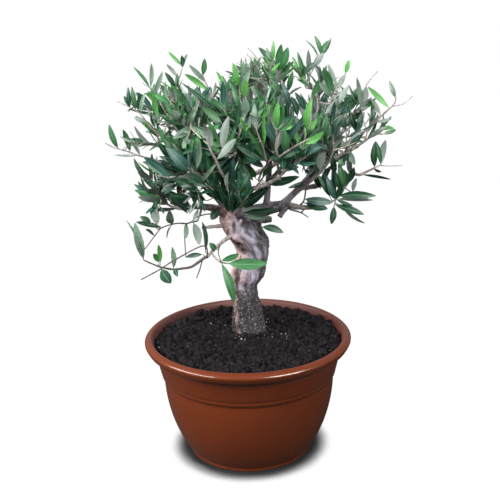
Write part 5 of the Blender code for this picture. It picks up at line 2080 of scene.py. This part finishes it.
leaf_places = {tint: [] for tint in TINTS}
for index, layout in enumerate(layouts):
    seed = random.Random(index + 101)
    for level, points in layout:
        tint = TINTS.index(shoot_tint(points, seed))
        for matrix in dress(points, level, seed):
            drift = seed.choice((-1, 1)) if seed.random() < TINT_DRIFT else 0
            leaf_places[TINTS[min(max(tint + drift, 0), len(TINTS) - 1)]].append(matrix)
print("grown leaves:", {tint: len(places) for tint, places in leaf_places.items()})

# %% [markdown]
# The side that a named leaf shows is turned to the front, with a little play so that no two leaves
# lie alike.

# %% Set the sprays' leaves
FRONT = Vector((0, -1, 0.4)).normalized()
SIDE_PLAY = 0.30
EDGE_SHOWN = 0.45

seed = random.Random(7)
for root, tip, width, tint, side in spray_leaves:
    way = tip - root
    edge = way.normalized().cross(FRONT) + FRONT * EDGE_SHOWN
    look = {"upper": FRONT, "under": -FRONT, "edge": edge}[side] + any_direction(seed) * SIDE_PLAY
    share = width / (2 * LEAF_HALF_WIDTH * way.length)
    leaf_places[tint].append(leaf_matrix(root, way.normalized(), look, way.length, share))
print("leaves:", {tint: len(places) for tint, places in leaf_places.items()})

# %% [markdown]
# The upper side is leathery with a low sheen, and the tint varies a little from leaf to leaf. The
# underside is matt and silvery with fine hairs. Each tint is one joined mesh.

# %% Finish and join the leaves
UPPER_TINTS = {
    # tint: darker and lighter tone
    # deep and blue are kept dark partly as painted shade for the crown's inside
    "deep": ((0.007, 0.042, 0.020), (0.020, 0.082, 0.040)),
    "blue": ((0.011, 0.050, 0.042), (0.034, 0.108, 0.086)),
    "mid": ((0.019, 0.096, 0.032), (0.048, 0.172, 0.056)),
    "fresh": ((0.052, 0.230, 0.040), (0.116, 0.360, 0.080)),
    "grey": ((0.088, 0.150, 0.104), (0.185, 0.270, 0.198)),
}
UNDER_TONES = ((0.155, 0.205, 0.172), (0.330, 0.395, 0.345))
MIDRIB_TONES = ((0.075, 0.160, 0.078), (0.170, 0.270, 0.150))


def make_leaf_finish(name, tones, roughness, sheen=0):
    material, tree, shader = new_material(name, roughness)
    feed(tree, shader, {
        "Base Color": mix(tree, mottle(tree, 24, 2.2), *tones),
        "Roughness": ramp(tree, mottle(tree, 180), 0, 1, roughness - 0.08, roughness + 0.12),
        "Specular IOR Level": 0.24, "Sheen Weight": sheen, "Normal": grain_bump(tree, 1500, 0.0002, 0.5),
    })
    return material


under = make_leaf_finish("leaf_underside", UNDER_TONES, 0.62, 0.15)
midrib = make_leaf_finish("leaf_midrib", MIDRIB_TONES, 0.5)
for tint, tones in UPPER_TINTS.items():
    shapes = []
    for i, matrix in enumerate(leaf_places[tint]):
        shapes.append(LEAF_SHAPES[i % len(LEAF_SHAPES)].copy())
        shapes[-1].transform(matrix)
    name = "leaves_" + tint
    finishes = [make_leaf_finish("leaf_" + tint, tones, 0.42), midrib, under]
    new_piece(name, new_mesh(name, gathered(shapes)), finishes, MASS_NODES)
